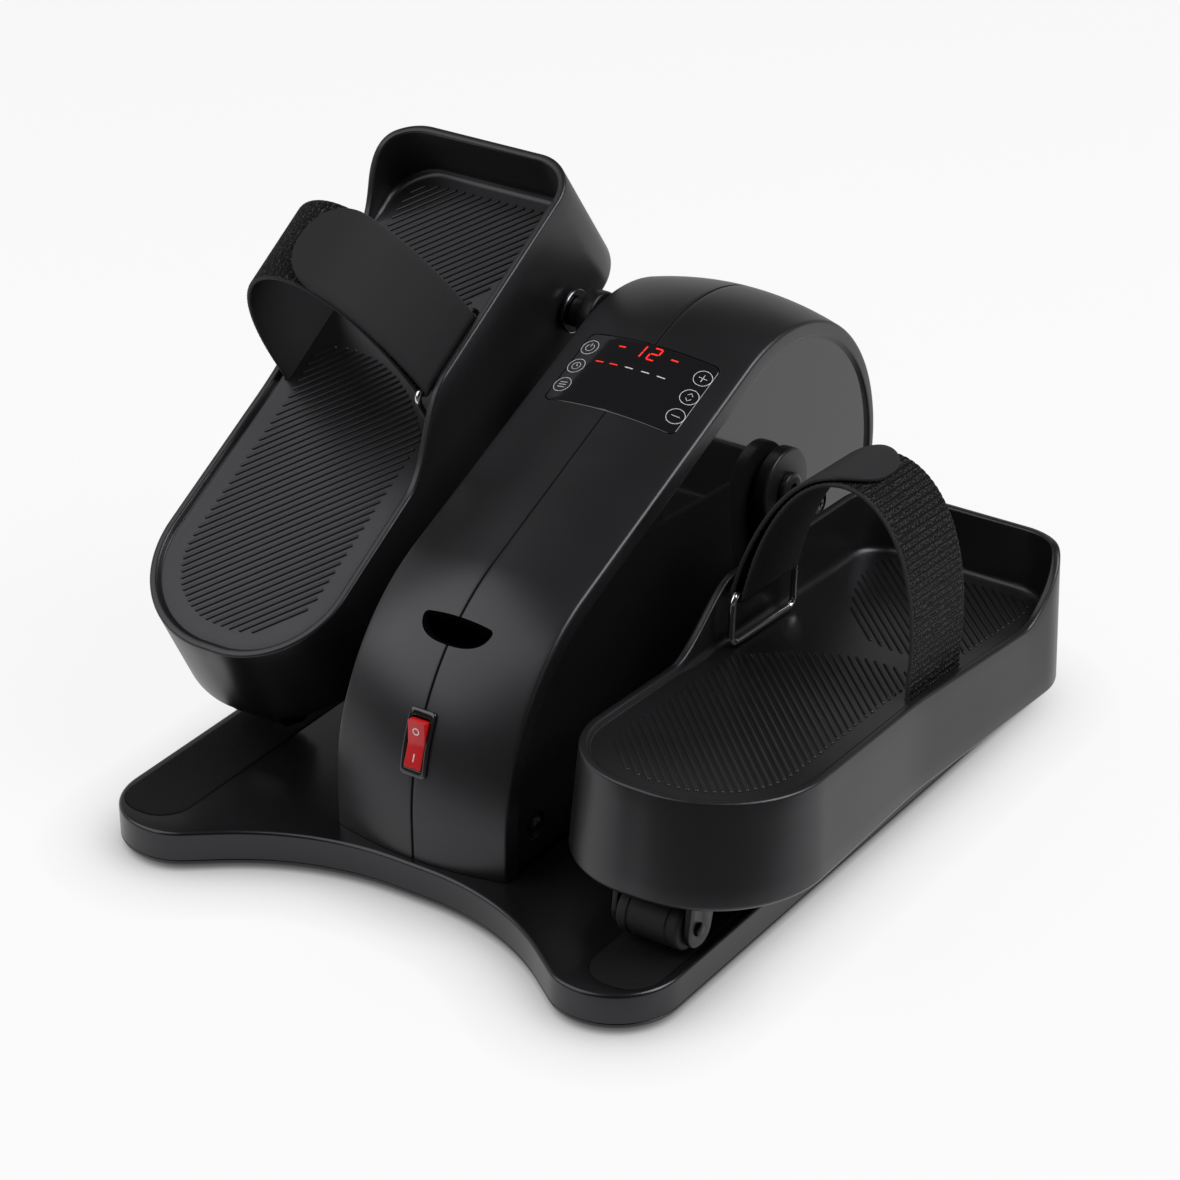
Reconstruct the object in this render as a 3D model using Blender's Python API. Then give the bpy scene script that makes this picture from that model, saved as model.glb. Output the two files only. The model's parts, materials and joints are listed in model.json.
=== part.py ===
"""Under-desk pedal exerciser: a motor-driven crank carries two foot plates, whose heels roll on a base.

Metres, +Z up, X to the right of the user, Y away from the user, origin on the floor under the middle.
"""

import math

import bmesh
import bpy
import numpy as np

GAP = 0.0003  # clearance between pieces that touch
SEGMENTS = 20  # facets round a turned piece
CUT_PAST = 0.010  # how far a cutter reaches past the wall it goes through
SMALL_RADIUS = 0.001  # corner radius of small moulded shapes

# Base plate with its inlaid roller tracks and rubber feet
BASE_WIDTH = 0.320
BASE_LENGTH = 0.400
BASE_THICKNESS = 0.019
BASE_CORNER_RADIUS = 0.034
BASE_EDGE_RADIUS = 0.004
BASE_POINTS = 104
FRONT_WAVE_DEPTH = 0.044  # how far the front edge sweeps in between its lobes
REAR_WAVE_DEPTH = 0.026
WAVE_HALF_WIDTH = 0.056
WAVE_RADIUS = 0.140
LOBE_WIDTH = 0.045
LOBE_RADIUS = 0.030
TRACK_WIDTH = 0.037
TRACK_MARGIN = 0.0045
TRACK_END_MARGIN = 0.010
TRACK_END_RADIUS = 0.017
TRACK_POCKET_DEPTH = 0.0015
TRACK_STANDS_PROUD = 0.0006
FOOT_HEIGHT = 0.003
FOOT_RADIUS = 0.012
FOOT_INSET = 0.036
FOOT_CHAMFER = 0.001

# Clamshell housing: a front arc and a rear drum joined by their common tangent
HOUSING_HALF_WIDTH = 0.050
HOUSING_WALL = 0.0025
CROWN = 0.007  # how far the middle of the fairing stands above its side rims
RIM_BEVEL = 0.0015
RIM_BAND = 0.010  # width of the side band in front
REAR_RIM_BAND = 0.004  # and where it ends, at the back of the drum
SIDE_STEP = 0.0020  # the flat side face lies this far behind the rim
FRONT_Y = -0.145
FRONT_RADIUS = 0.110
FRONT_ARC_Z = 0.043
DRUM_RADIUS = 0.090
DRUM_Y = 0.102
DRUM_Z = 0.122
REAR_TUCK = math.radians(20)
SIDE_SCREWS = ((-0.118, 0.040), (0.140, 0.100))
SCREW_RADIUS = 0.004
SCREW_HEAD_HEIGHT = 0.0025
SCREW_HEAD_CHAMFER = 0.0008
SCREW_WELL_RADIUS = 0.0075
SCREW_WELL_DEPTH = 0.0015

# Control panel, hand recess, rocker switch and power inlet
PANEL_Y = 0.040
PANEL_WIDTH = 0.077
PANEL_LENGTH = 0.048
PANEL_THICKNESS = 0.0025
PANEL_CORNER_RADIUS = 0.004
BOARD_WIDTH = 0.066
BOARD_LENGTH = 0.042
BOARD_THICKNESS = 0.0016
DISPLAY_WIDTH = 0.036
DISPLAY_LENGTH = 0.014
CUP_ANGLE = math.radians(133)
CUP_HALF_WIDTH = 0.020
CUP_HEIGHT = 0.0135
CUP_BOW = 0.0015  # how far its upper edge arches
CUP_FULLNESS = 0.8  # below 1, its ends are rounder than a half ellipse
CUP_DEPTH = 0.020
CUP_WALL = 0.0016
SWITCH_ANGLE = math.radians(160)
SWITCH_LENGTH = 0.033
SWITCH_WIDTH = 0.0148
SWITCH_FLANGE = 0.0014
SWITCH_RIM = 0.0022
SWITCH_END_RIM = 0.0038
SWITCH_BODY_DEPTH = 0.016
SWITCH_POCKET_DEPTH = 0.011
SWITCH_EDGE = 0.0006
BUTTON_SLACK = 0.0008
BUTTON_RISE = 0.0052
BUTTON_DISH = 0.0022
BUTTON_TILT = math.radians(9)
BUTTON_PIVOT_DEPTH = 0.0035
BUTTON_KEEL = 0.003
INLET_WIDTH = 0.026
INLET_HEIGHT = 0.018
INLET_DEPTH = 0.015
INLET_WALL = 0.003
INLET_CORNER_RADIUS = 0.002

# Frame, motor and belt inside the housing
AXLE_Y = 0.090
AXLE_Z = 0.133
AXLE_RADIUS = 0.006
AXLE_HOLE_RADIUS = 0.0085
PLATE_X = 0.027  # inner face of each upright
PLATE_THICKNESS = 0.003
PLATE_BOSS_RADIUS = 0.024
PLATE_FRONT_Y = -0.055
PLATE_REAR_Y = 0.135
BEARING_RADIUS = 0.014
BEARING_WIDTH = 0.009
MOTOR_Y = -0.020
MOTOR_Z = 0.080
MOTOR_RADIUS = 0.028
MOTOR_CHAMFER = 0.002
MOTOR_SHAFT_RADIUS = 0.004
SHAFT_HOLE_RADIUS = 0.0055
BELT_X = 0.033
BELT_WIDTH = 0.008
BELT_THICKNESS = 0.0025
DRIVEN_PULLEY_RADIUS = 0.042
MOTOR_PULLEY_RADIUS = 0.014
PULLEY_WEB = 0.003

# Cranks: the left pin at the top of its circle, the right pin at the bottom
CRANK_RADIUS = 0.066
ARM_CLEARANCE = 0.0008  # between each arm and the housing's rim
CRANK_THICKNESS = 0.008
HUB_RADIUS = 0.021
EYE_RADIUS = 0.014
ARM_CHAMFER = 0.0012
ARM_POINTS = 40
ROD_CHAMFER = 0.001
BOLT_RADIUS = 0.009
BOLT_HEIGHT = 0.0035
BOLT_DOME = 0.0012
PIN_RADIUS = 0.005
COLLAR_RADIUS = 0.008
WASHER_RADIUS = 0.0115
WASHER_THICKNESS = 0.002
BUSH_RADIUS = 0.008
BUSH_STANDS_IN = 0.003  # past the inner face of the foot plate's wall
NUT_RADIUS = 0.0095
NUT_LENGTH = 0.006
NUT_STANDOFF = 0.004  # from the foot plate's wall, past the end of the bush

# Foot plates, in a frame at the crank pin: X across, Y towards the toe, Z up from the pin
PEDAL_TILT = {"left": math.radians(31.3), "right": math.radians(-4.0)}
PEDAL_INNER = 0.073
PEDAL_WIDTH = 0.1246
PEDAL_WAIST = 0.006
PEDAL_WAIST_Y = -0.100
PEDAL_HEEL_NARROWING = 0.006
PEDAL_HEEL_Y = -0.252
PEDAL_TOE_Y = 0.052
HEEL_INNER_RADIUS = 0.050
HEEL_OUTER_RADIUS = 0.058
WAIST_RADIUS = 0.300
TOE_OUTER_RADIUS = 0.030
TOE_INNER_RADIUS = 0.025
RIM_Z = 0.025  # rim of the foot plate above the pin
FOOTBED_DROP = 0.003
FOOTBED_THICKNESS = 0.005
RIM_WIDTH = 0.0045
SKIRT_HEEL_DEPTH = 0.055
SKIRT_TOE_DEPTH = 0.040
SKIRT_WALL = 0.004
SKIRT_FLARE = 0.003
SKIRT_EDGE_RADIUS = 0.003
WALL_HEIGHT = 0.030  # raised wall along the instep and round the toe
WALL_START_Y = -0.140
WALL_RISE = 0.055
WALL_OUTER_Y = 0.000
WALL_OUTER_RISE = 0.045
FOOTBED_EDGE_STEP = 0.001
OUTLINE_POINTS = 76

# Heel roller under each foot plate
ROLLER_Y = -0.235
ROLLER_CENTRE_X = 0.1375
ROLLER_RADIUS = 0.012
ROLLER_WIDTH = 0.034
ROLLER_EDGE = 0.002
ROLLER_SIDE_CLEARANCE = 0.0012
ROLLER_REST_CLEARANCE = 0.0025  # left at the open end of the linkage
ROLLER_AXLE_RADIUS = 0.003
BRACKET_WALL = 0.003
BRACKET_LENGTH = 0.028
BRACKET_AHEAD = 0.012  # its top lies this far towards the toe from the roller's axle
BRACKET_EYE_RADIUS = 0.0095
BRACKET_AXLE_END = 0.002

# Strap and its wire loop
STRAP_Y = -0.071
STRAP_WIDTH = 0.050
STRAP_THICKNESS = 0.0025
STRAP_LAYER_STEP = 0.0031
STRAP_TOP_Z = 0.120
STRAP_FOOT_X = 0.183
STRAP_TAIL = 0.014  # how far the band goes down through its slot
STRAP_TONGUE_END = 0.46  # where the tongue ends, as a share of the way over the arch
STRAP_STEPS = 22
STRAP_UPRIGHT = 0.010  # straight run of the band above the footbed
STRAP_BULGE = 0.007  # how far the arch leans out past its slot
STRAP_LEAN = 0.010  # how much higher the arch stands on the instep side
STRAP_SHOULDER = 0.024  # how far the arch leans out past the wire loop
STRAP_MERGE = 0.70  # where the tongue starts to open from the band, as a share of the way
LOOP_X = 0.0875
LOOP_WIRE_RADIUS = 0.0018
LOOP_WIDTH = 0.058
LOOP_TOP_Z = 0.050
LOOP_BOTTOM_Z = 0.0242
LOOP_CORNER_RADIUS = 0.005

# Places that follow from the sizes above
BASE_TOP = FOOT_HEIGHT + BASE_THICKNESS
SIDE_FACE_X = HOUSING_HALF_WIDTH - SIDE_STEP
CRANK_X = HOUSING_HALF_WIDTH + ARM_CLEARANCE  # inner face of each arm
CRANK_OUTER_X = CRANK_X + CRANK_THICKNESS
FOOTBED_Z = RIM_Z - FOOTBED_DROP
PEDAL_OUTER = PEDAL_INNER + PEDAL_WIDTH
TRACK_TOP = BASE_TOP + TRACK_STANDS_PROUD
ROLLER_Z = TRACK_TOP + ROLLER_REST_CLEARANCE + ROLLER_RADIUS
PIN_Z = {"left": AXLE_Z + CRANK_RADIUS, "right": AXLE_Z - CRANK_RADIUS}
SIDES = {"left": -1, "right": 1}


def clear_scene():
    for old in list(bpy.data.objects):
        bpy.data.objects.remove(old, do_unlink=True)


def material(name, colour, roughness, metallic=0.0):
    made = bpy.data.materials.get(name) or bpy.data.materials.new(name)
    made.use_nodes = True
    shader = made.node_tree.nodes["Principled BSDF"]
    shader.inputs["Base Color"].default_value = (*colour, 1.0)
    shader.inputs["Roughness"].default_value = roughness
    shader.inputs["Metallic"].default_value = metallic
    return made


def plastic():
    return material("charcoal_plastic", (0.012, 0.012, 0.013), 0.42)


def rubber():
    return material("black_rubber", (0.012, 0.012, 0.012), 0.85)


def steel():
    return material("zinc_steel", (0.55, 0.55, 0.54), 0.35, 1.0)


def dark_steel():
    return material("black_steel", (0.014, 0.014, 0.015), 0.40, 0.6)


def gloss_black():
    return material("gloss_panel", (0.006, 0.006, 0.007), 0.08)


def red_plastic():
    return material("red_rocker", (0.55, 0.010, 0.012), 0.30)


def webbing():
    return material("strap_webbing", (0.014, 0.014, 0.015), 0.90)


def circuit_green():
    return material("circuit_board", (0.010, 0.090, 0.035), 0.50)


def add_axis(name, place, turn=0.0, parent=None):
    """An empty on a joint's axis, which is along X."""
    axis = bpy.data.objects.new(name, None)
    axis.empty_display_size = 0.02
    axis.location = place
    axis.rotation_euler = (turn, 0.0, 0.0)
    axis.parent = parent
    bpy.context.collection.objects.link(axis)
    return axis


def add_solid(name, points, faces, finish, parent=None, helper=False):
    """One closed mesh object, with its normals outwards and its sharp edges kept."""
    mesh = bpy.data.meshes.new(name)
    mesh.from_pydata([tuple(p) for p in points], [], faces)
    shape = bmesh.new()
    shape.from_mesh(mesh)
    bmesh.ops.recalc_face_normals(shape, faces=shape.faces)
    if shape.calc_volume(signed=True) < 0:
        bmesh.ops.reverse_faces(shape, faces=shape.faces)
    shape.to_mesh(mesh)
    shape.free()
    mesh.materials.append(finish)
    mesh.shade_smooth()
    mesh.set_sharp_from_angle(angle=math.radians(32))
    made = bpy.data.objects.new(name, mesh)
    made.parent = parent
    bpy.context.collection.objects.link(made)
    if helper:
        made.hide_render = True
        made.display_type = "WIRE"
    return made


def cut(target, cutter):
    change = target.modifiers.new(cutter.name, "BOOLEAN")
    change.operation = "DIFFERENCE"
    change.solver = "EXACT"
    change.object = cutter


def loft(rings, closed=False):
    """Points and faces of a skin over equal rings, capped at its ends or joined end to end."""
    count = len(rings[0])
    points = np.concatenate(rings)
    steps = len(rings) if closed else len(rings) - 1
    faces = []
    for i in range(steps):
        low, high = i * count, (i + 1) % len(rings) * count
        for j in range(count):
            k = (j + 1) % count
            faces.append((low + j, low + k, high + k, high + j))
    if not closed:
        faces.append(tuple(range(count))[::-1])
        faces.append(tuple(range(len(points) - count, len(points))))
    return points, faces


def across(outline, x):
    """A ring at x from an outline of (y, z)."""
    return np.column_stack([np.full(len(outline), x), outline])


def level(outline, z):
    """A ring from an outline of (x, y), at one height or at a height for each point."""
    return np.column_stack([outline, np.broadcast_to(z, len(outline))])


def turned(name, profile, centre, finish, parent=None, helper=False, bore=0.0):
    """A solid turned about an X axis through (y, z), from (x, radius) pairs, with a bore if one is given."""
    angle = np.linspace(0, 2 * math.pi, SEGMENTS, endpoint=False)
    circle = np.column_stack([np.cos(angle), np.sin(angle)])
    stations = list(profile)
    if bore:
        stations += [(profile[-1][0], bore), (profile[0][0], bore)]
    rings = [across(circle * r + np.array(centre), x) for x, r in stations]
    return add_solid(name, *loft(rings, closed=bool(bore)), finish, parent, helper)


def arc(centre, radius, start, stop, steps):
    angle = np.linspace(start, stop, steps)
    return np.array(centre) + radius * np.column_stack([np.cos(angle), np.sin(angle)])


def rounded(corners, steps=9):
    """A closed outline through corners of (x, y, radius), each an arc that its edges have room for."""
    spots = np.array(corners, float)
    places, radii = spots[:, :2], spots[:, 2]
    to_next = np.roll(places, -1, axis=0) - places
    length = np.linalg.norm(to_next, axis=1)
    to_next /= length[:, None]
    to_last = -np.roll(to_next, 1, axis=0)
    half = np.arccos(np.clip(np.sum(to_last * to_next, axis=1), -1, 1)) / 2
    used = radii / np.tan(half)
    room = np.minimum(1, 0.98 * length / (used + np.roll(used, -1)))
    radii = radii * np.minimum(room, np.roll(room, 1))
    pieces = []
    for i, here in enumerate(places):
        middle = to_last[i] + to_next[i]
        centre = here + middle / np.linalg.norm(middle) * radii[i] / math.sin(half[i])
        first = here + to_last[i] * radii[i] / math.tan(half[i]) - centre
        last = here + to_next[i] * radii[i] / math.tan(half[i]) - centre
        start = math.atan2(first[1], first[0])
        swing = (math.atan2(last[1], last[0]) - start + math.pi) % (2 * math.pi) - math.pi
        pieces.append(arc(centre, radii[i], start, start + swing, steps))
    return np.concatenate(pieces)


def rounded_box(half_width, half_height, radius, centre=(0.0, 0.0), steps=5):
    signs = ((-1, -1), (1, -1), (1, 1), (-1, 1))
    corners = [(centre[0] + a * half_width, centre[1] + b * half_height, radius) for a, b in signs]
    return rounded(corners, steps)


def evenly(outline, count):
    """The outline again, with this many points at equal steps along it."""
    loop = np.vstack([outline, outline[:1]])
    run = np.concatenate([[0], np.cumsum(np.linalg.norm(np.diff(loop, axis=0), axis=1))])
    at = np.linspace(0, run[-1], count, endpoint=False)
    return np.column_stack([np.interp(at, run, loop[:, 0]), np.interp(at, run, loop[:, 1])])


def grown(outline, by):
    """The outline moved outwards by a distance."""
    ahead = np.roll(outline, -1, axis=0) - np.roll(outline, 1, axis=0)
    normal = np.column_stack([ahead[:, 1], -ahead[:, 0]])
    normal /= np.linalg.norm(normal, axis=1, keepdims=True)
    x, y = outline.T
    area = np.sum(x * np.roll(y, -1) - np.roll(x, -1) * y)
    return outline + normal * by * math.copysign(1.0, area)


def belt_outline(circles, steps=7):
    """The taut outline round circles of (y, z, radius) and plain points of radius 0."""
    spots = np.concatenate([arc((y, z), r, 0, 2 * math.pi, 4 * steps + 1) for y, z, r in circles])
    spots = spots[np.lexsort((spots[:, 1], spots[:, 0]))]
    hull = []
    for order in (spots, spots[::-1]):
        chain = []
        for spot in order:
            while len(chain) > 1:
                a, b = chain[-1] - chain[-2], spot - chain[-1]
                if a[0] * b[1] - a[1] * b[0] > 1e-12:
                    break
                chain.pop()
            chain.append(spot)
        hull += chain[:-1]
    return np.array(hull)


def smooth_step(value):
    value = np.clip(value, 0, 1)
    return value * value * (3 - 2 * value)


def base_outline():
    """Base outline as (x, y): a lobe in front and behind each track, with a sweep between the lobes."""
    x, y = BASE_WIDTH / 2, BASE_LENGTH / 2
    lobe = x - LOBE_WIDTH
    corners = []
    for end, depth in ((-1, FRONT_WAVE_DEPTH), (1, REAR_WAVE_DEPTH)):
        corners += [
            (end * x, end * y, BASE_CORNER_RADIUS),
            (end * lobe, end * y, LOBE_RADIUS),
            (end * WAVE_HALF_WIDTH, end * (y - depth), WAVE_RADIUS),
            (-end * WAVE_HALF_WIDTH, end * (y - depth), WAVE_RADIUS),
            (-end * lobe, end * y, LOBE_RADIUS),
            (-end * x, end * y, BASE_CORNER_RADIUS),
        ]
    return evenly(rounded(corners), BASE_POINTS)


def make_base():
    outline = base_outline()
    bottom, top, edge = FOOT_HEIGHT, BASE_TOP, BASE_EDGE_RADIUS
    rings = [level(grown(outline, -edge / 2), bottom), level(outline, bottom + edge / 2)]
    for turn in np.linspace(0, math.pi / 2, 4):
        inward = edge * (1 - math.cos(turn))
        rings.append(level(grown(outline, -inward), top - edge + edge * math.sin(turn)))
    plate = add_solid("base_plate", *loft(rings), plastic())

    middle = BASE_WIDTH / 2 - TRACK_MARGIN - TRACK_WIDTH / 2
    half_length = BASE_LENGTH / 2 - TRACK_END_MARGIN
    pocket_floor = BASE_TOP - TRACK_POCKET_DEPTH
    for side, sign in SIDES.items():
        strip = rounded_box(TRACK_WIDTH / 2, half_length, TRACK_END_RADIUS, (sign * middle, 0), 7)
        pocket = loft([level(strip, pocket_floor), level(strip, BASE_TOP + BASE_EDGE_RADIUS)])
        cut(plate, add_solid(f"track_pocket_{side}", *pocket, plastic(), helper=True))
        inlay = grown(strip, -GAP)
        slab = loft([level(inlay, pocket_floor + GAP), level(inlay, TRACK_TOP)])
        add_solid(f"roller_track_{side}", *slab, rubber())
        for end, along in (("front", -1), ("rear", 1)):
            spot = (sign * (BASE_WIDTH / 2 - FOOT_INSET), along * (BASE_LENGTH / 2 - FOOT_INSET))
            disc = arc(spot, FOOT_RADIUS, 0, 2 * math.pi, SEGMENTS + 1)[:-1]
            pad = [level(grown(disc, -FOOT_CHAMFER), 0.0)]
            pad += [level(disc, z) for z in (FOOT_CHAMFER, FOOT_HEIGHT - GAP)]
            add_solid(f"rubber_foot_{end}_{side}", *loft(pad), rubber())


def tangent_slope():
    """Slope of the straight top of the fairing, the common tangent of the front arc and the drum."""
    front_centre_y = FRONT_Y + FRONT_RADIUS
    run, rise = DRUM_Y - front_centre_y, DRUM_Z - FRONT_ARC_Z
    return math.atan2(rise, run) - math.asin((FRONT_RADIUS - DRUM_RADIUS) / math.hypot(run, rise))


def fairing(by, bottom, rear_by=None):
    """Side outline of the fairing as (y, z), moved outwards by a distance and closed along its bottom.

    Over the drum the distance may change to another one at the rear.
    """
    lean = math.pi / 2 + tangent_slope()
    front = arc((FRONT_Y + FRONT_RADIUS, FRONT_ARC_Z), FRONT_RADIUS + by, math.pi, lean, 11)
    over_drum = np.linspace(by, by if rear_by is None else rear_by, 22)[:, None]
    drum = arc((DRUM_Y, DRUM_Z), DRUM_RADIUS + over_drum, lean, -REAR_TUCK, 22)
    down = (drum[-1, 1] - bottom) * math.tan(REAR_TUCK)
    ends = np.array([[FRONT_Y - by, bottom], [drum[-1, 0] - down, bottom]])
    return np.vstack([ends[:1], front, drum, ends[1:]])


def crown(x):
    return CROWN * (1 - (x / HOUSING_HALF_WIDTH) ** 2)


def surface_frame(spot, normal_angle):
    """Turns (x, along, out) into world points, for a place on the fairing's side outline."""
    out = np.array([0, math.cos(normal_angle), math.sin(normal_angle)])
    along = np.array([0, math.sin(normal_angle), -math.cos(normal_angle)])
    origin = np.array([0, *spot])

    def place(points):
        points = np.asarray(points, float)
        return origin + points[:, :1] * [1, 0, 0] + points[:, 1:2] * along + points[:, 2:] * out

    return place


def panel_frame():
    lean = math.pi / 2 + tangent_slope()
    touch = np.array([DRUM_Y, DRUM_Z]) + DRUM_RADIUS * np.array([math.cos(lean), math.sin(lean)])
    spot = (PANEL_Y, touch[1] + (PANEL_Y - touch[0]) * math.tan(tangent_slope()))
    return surface_frame(spot, lean)


def front_frame(angle):
    centre = np.array([FRONT_Y + FRONT_RADIUS, FRONT_ARC_Z])
    spot = centre + FRONT_RADIUS * np.array([math.cos(angle), math.sin(angle)])
    return surface_frame(spot, angle)


def inlet_frame():
    y, z = DRUM_Y + DRUM_RADIUS * math.cos(REAR_TUCK), DRUM_Z - DRUM_RADIUS * math.sin(REAR_TUCK)
    drop = (z - BASE_TOP) / 2
    return surface_frame((y - drop * math.tan(REAR_TUCK), z - drop), -REAR_TUCK)


def make_housing():
    bottom, below = BASE_TOP + GAP, BASE_TOP - 4 * HOUSING_WALL
    rim = HOUSING_HALF_WIDTH
    skin = [(GAP / 2, crown(0))]
    skin += [(x, crown(x)) for x in np.linspace(0.24, 0.92, 4) * rim]
    skin += [(rim - RIM_BEVEL, 0.0), (rim, -RIM_BEVEL)]
    band = [(rim - GAP, 0.0), (SIDE_FACE_X, -RIM_BEVEL)]
    hollow = [(x, crown(x) - HOUSING_WALL) for x in np.linspace(0.0, 0.80, 4) * rim]
    hollow[0] = (-HOUSING_WALL, hollow[0][1])
    hollow.append((SIDE_FACE_X - HOUSING_WALL, -RIM_BAND - RIM_BEVEL - HOUSING_WALL))

    window = rounded_box(PANEL_WIDTH / 2, PANEL_LENGTH / 2, PANEL_CORNER_RADIUS)
    slot = rounded_box((SWITCH_WIDTH - SWITCH_RIM) / 2, (SWITCH_LENGTH - SWITCH_RIM) / 2, SMALL_RADIUS)
    socket = rounded_box(INLET_WIDTH / 2, INLET_HEIGHT / 2, INLET_CORNER_RADIUS)
    holes = {
        "panel_window": (panel_frame(), window, 3 * HOUSING_WALL),
        "cup_hole": (front_frame(CUP_ANGLE), cup_outline(0), CUP_DEPTH),
        "switch_hole": (front_frame(SWITCH_ANGLE), slot, SWITCH_BODY_DEPTH),
        "inlet_hole": (inlet_frame(), socket, INLET_DEPTH),
    }
    cutters = []
    for name, (place, outline, depth) in holes.items():
        shape = loft([place(level(outline, z)) for z in (-depth, CROWN + HOUSING_WALL)])
        cutters.append(add_solid(name, *shape, plastic(), helper=True))

    for side, sign in SIDES.items():
        shell = [across(fairing(by, bottom), sign * x) for x, by in skin]
        for x, by in band:
            shell.append(across(fairing(by - RIM_BAND, bottom, by - REAR_RIM_BAND), sign * x))
        half = add_solid(f"housing_{side}", *loft(shell), plastic())
        room = [across(fairing(by, below), sign * x) for x, by in hollow]
        cut(half, add_solid(f"housing_room_{side}", *loft(room), plastic(), helper=True))
        for cutter in cutters:
            cut(half, cutter)
        reach = [(sign * x, AXLE_HOLE_RADIUS) for x in (SIDE_FACE_X - CUT_PAST, rim)]
        cut(half, turned(f"axle_hole_{side}", reach, (AXLE_Y, AXLE_Z), plastic(), helper=True))
        if side == "right":
            make_side_screws(half)


def make_side_screws(half):
    floor = SIDE_FACE_X - SCREW_WELL_DEPTH
    for i, spot in enumerate(SIDE_SCREWS):
        well = [(floor, SCREW_WELL_RADIUS), (HOUSING_HALF_WIDTH, SCREW_WELL_RADIUS)]
        cut(half, turned(f"screw_well_{i}", well, spot, plastic(), helper=True))
        top = floor + GAP + SCREW_HEAD_HEIGHT
        head = [(x, SCREW_RADIUS) for x in (floor + GAP, top - SCREW_HEAD_CHAMFER)]
        head.append((top, SCREW_RADIUS - SCREW_HEAD_CHAMFER))
        turned(f"housing_screw_{('front', 'rear')[i]}", head, spot, dark_steel())


def cup_outline(by):
    """Half-moon with its flat side up: a low arch over half of a full ellipse."""
    angle = np.linspace(math.pi, 2 * math.pi, 15)
    side, depth = np.cos(angle), -np.sin(angle)
    side = np.sign(side) * np.abs(side) ** CUP_FULLNESS
    top = CUP_HEIGHT / 2
    below = np.column_stack([CUP_HALF_WIDTH * side, top - CUP_HEIGHT * np.abs(depth) ** CUP_FULLNESS])
    back = np.linspace(1, -1, 9)[1:-1]
    above = np.column_stack([CUP_HALF_WIDTH * back, top + CUP_BOW * (1 - back**2)])
    return grown(np.vstack([below, above]), by)


def make_controls():
    place = panel_frame()
    half_width, half_length = PANEL_WIDTH / 2 - GAP, PANEL_LENGTH / 2 - GAP
    turn = np.linspace(math.pi / 2, 0, 5)
    ends = half_width - PANEL_CORNER_RADIUS * (1 - np.cos(turn))
    stations = np.concatenate([-ends[::-1], np.linspace(-0.8, 0.8, 9) * half_width, ends])
    rings = []
    for x in stations:
        into_corner = max(abs(x) - (half_width - PANEL_CORNER_RADIUS), 0)
        drop = PANEL_CORNER_RADIUS - math.sqrt(max(PANEL_CORNER_RADIUS**2 - into_corner**2, 0))
        reach, top = half_length - drop, crown(x)
        low = top - PANEL_THICKNESS
        rings.append(place([(x, -reach, low), (x, reach, low), (x, reach, top), (x, -reach, top)]))
    add_solid("control_panel", *loft(rings), gloss_black())

    board_top = crown(BOARD_WIDTH / 2) - PANEL_THICKNESS - GAP
    slab = rounded_box(BOARD_WIDTH / 2, BOARD_LENGTH / 2, SMALL_RADIUS)
    board = [place(level(slab, board_top - BOARD_THICKNESS)), place(level(slab, board_top))]
    add_solid("control_board", *loft(board), circuit_green())
    slab = rounded_box(DISPLAY_WIDTH / 2, DISPLAY_LENGTH / 2, SMALL_RADIUS)
    window_top = crown(DISPLAY_WIDTH / 2) - PANEL_THICKNESS - GAP
    module = [place(level(slab, board_top + GAP)), place(level(slab, window_top))]
    add_solid("display_module", *loft(module), gloss_black())

    place = front_frame(CUP_ANGLE)
    rim = crown(CUP_HALF_WIDTH) - 2 * GAP
    outside = [place(level(cup_outline(-GAP), z)) for z in (GAP - CUP_DEPTH, rim)]
    cup = add_solid("hand_recess", *loft(outside), plastic())
    inside = [place(level(cup_outline(-GAP - CUP_WALL), z)) for z in (GAP + CUP_WALL - CUP_DEPTH, CROWN)]
    cut(cup, add_solid("hand_recess_room", *loft(inside), plastic(), helper=True))

    place = inlet_frame()
    face = CROWN + GAP
    block = rounded_box(INLET_WIDTH / 2 - GAP, INLET_HEIGHT / 2 - GAP, INLET_CORNER_RADIUS)
    shape = loft([place(level(block, z)) for z in (-INLET_DEPTH, face)])
    inlet = add_solid("power_inlet", *shape, plastic())
    mouth = rounded_box(INLET_WIDTH / 2 - INLET_WALL, INLET_HEIGHT / 2 - INLET_WALL, INLET_CORNER_RADIUS)
    room = [place(level(mouth, z)) for z in (INLET_WALL - INLET_DEPTH, face + INLET_WALL)]
    cut(inlet, add_solid("power_inlet_room", *loft(room), plastic(), helper=True))


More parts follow.
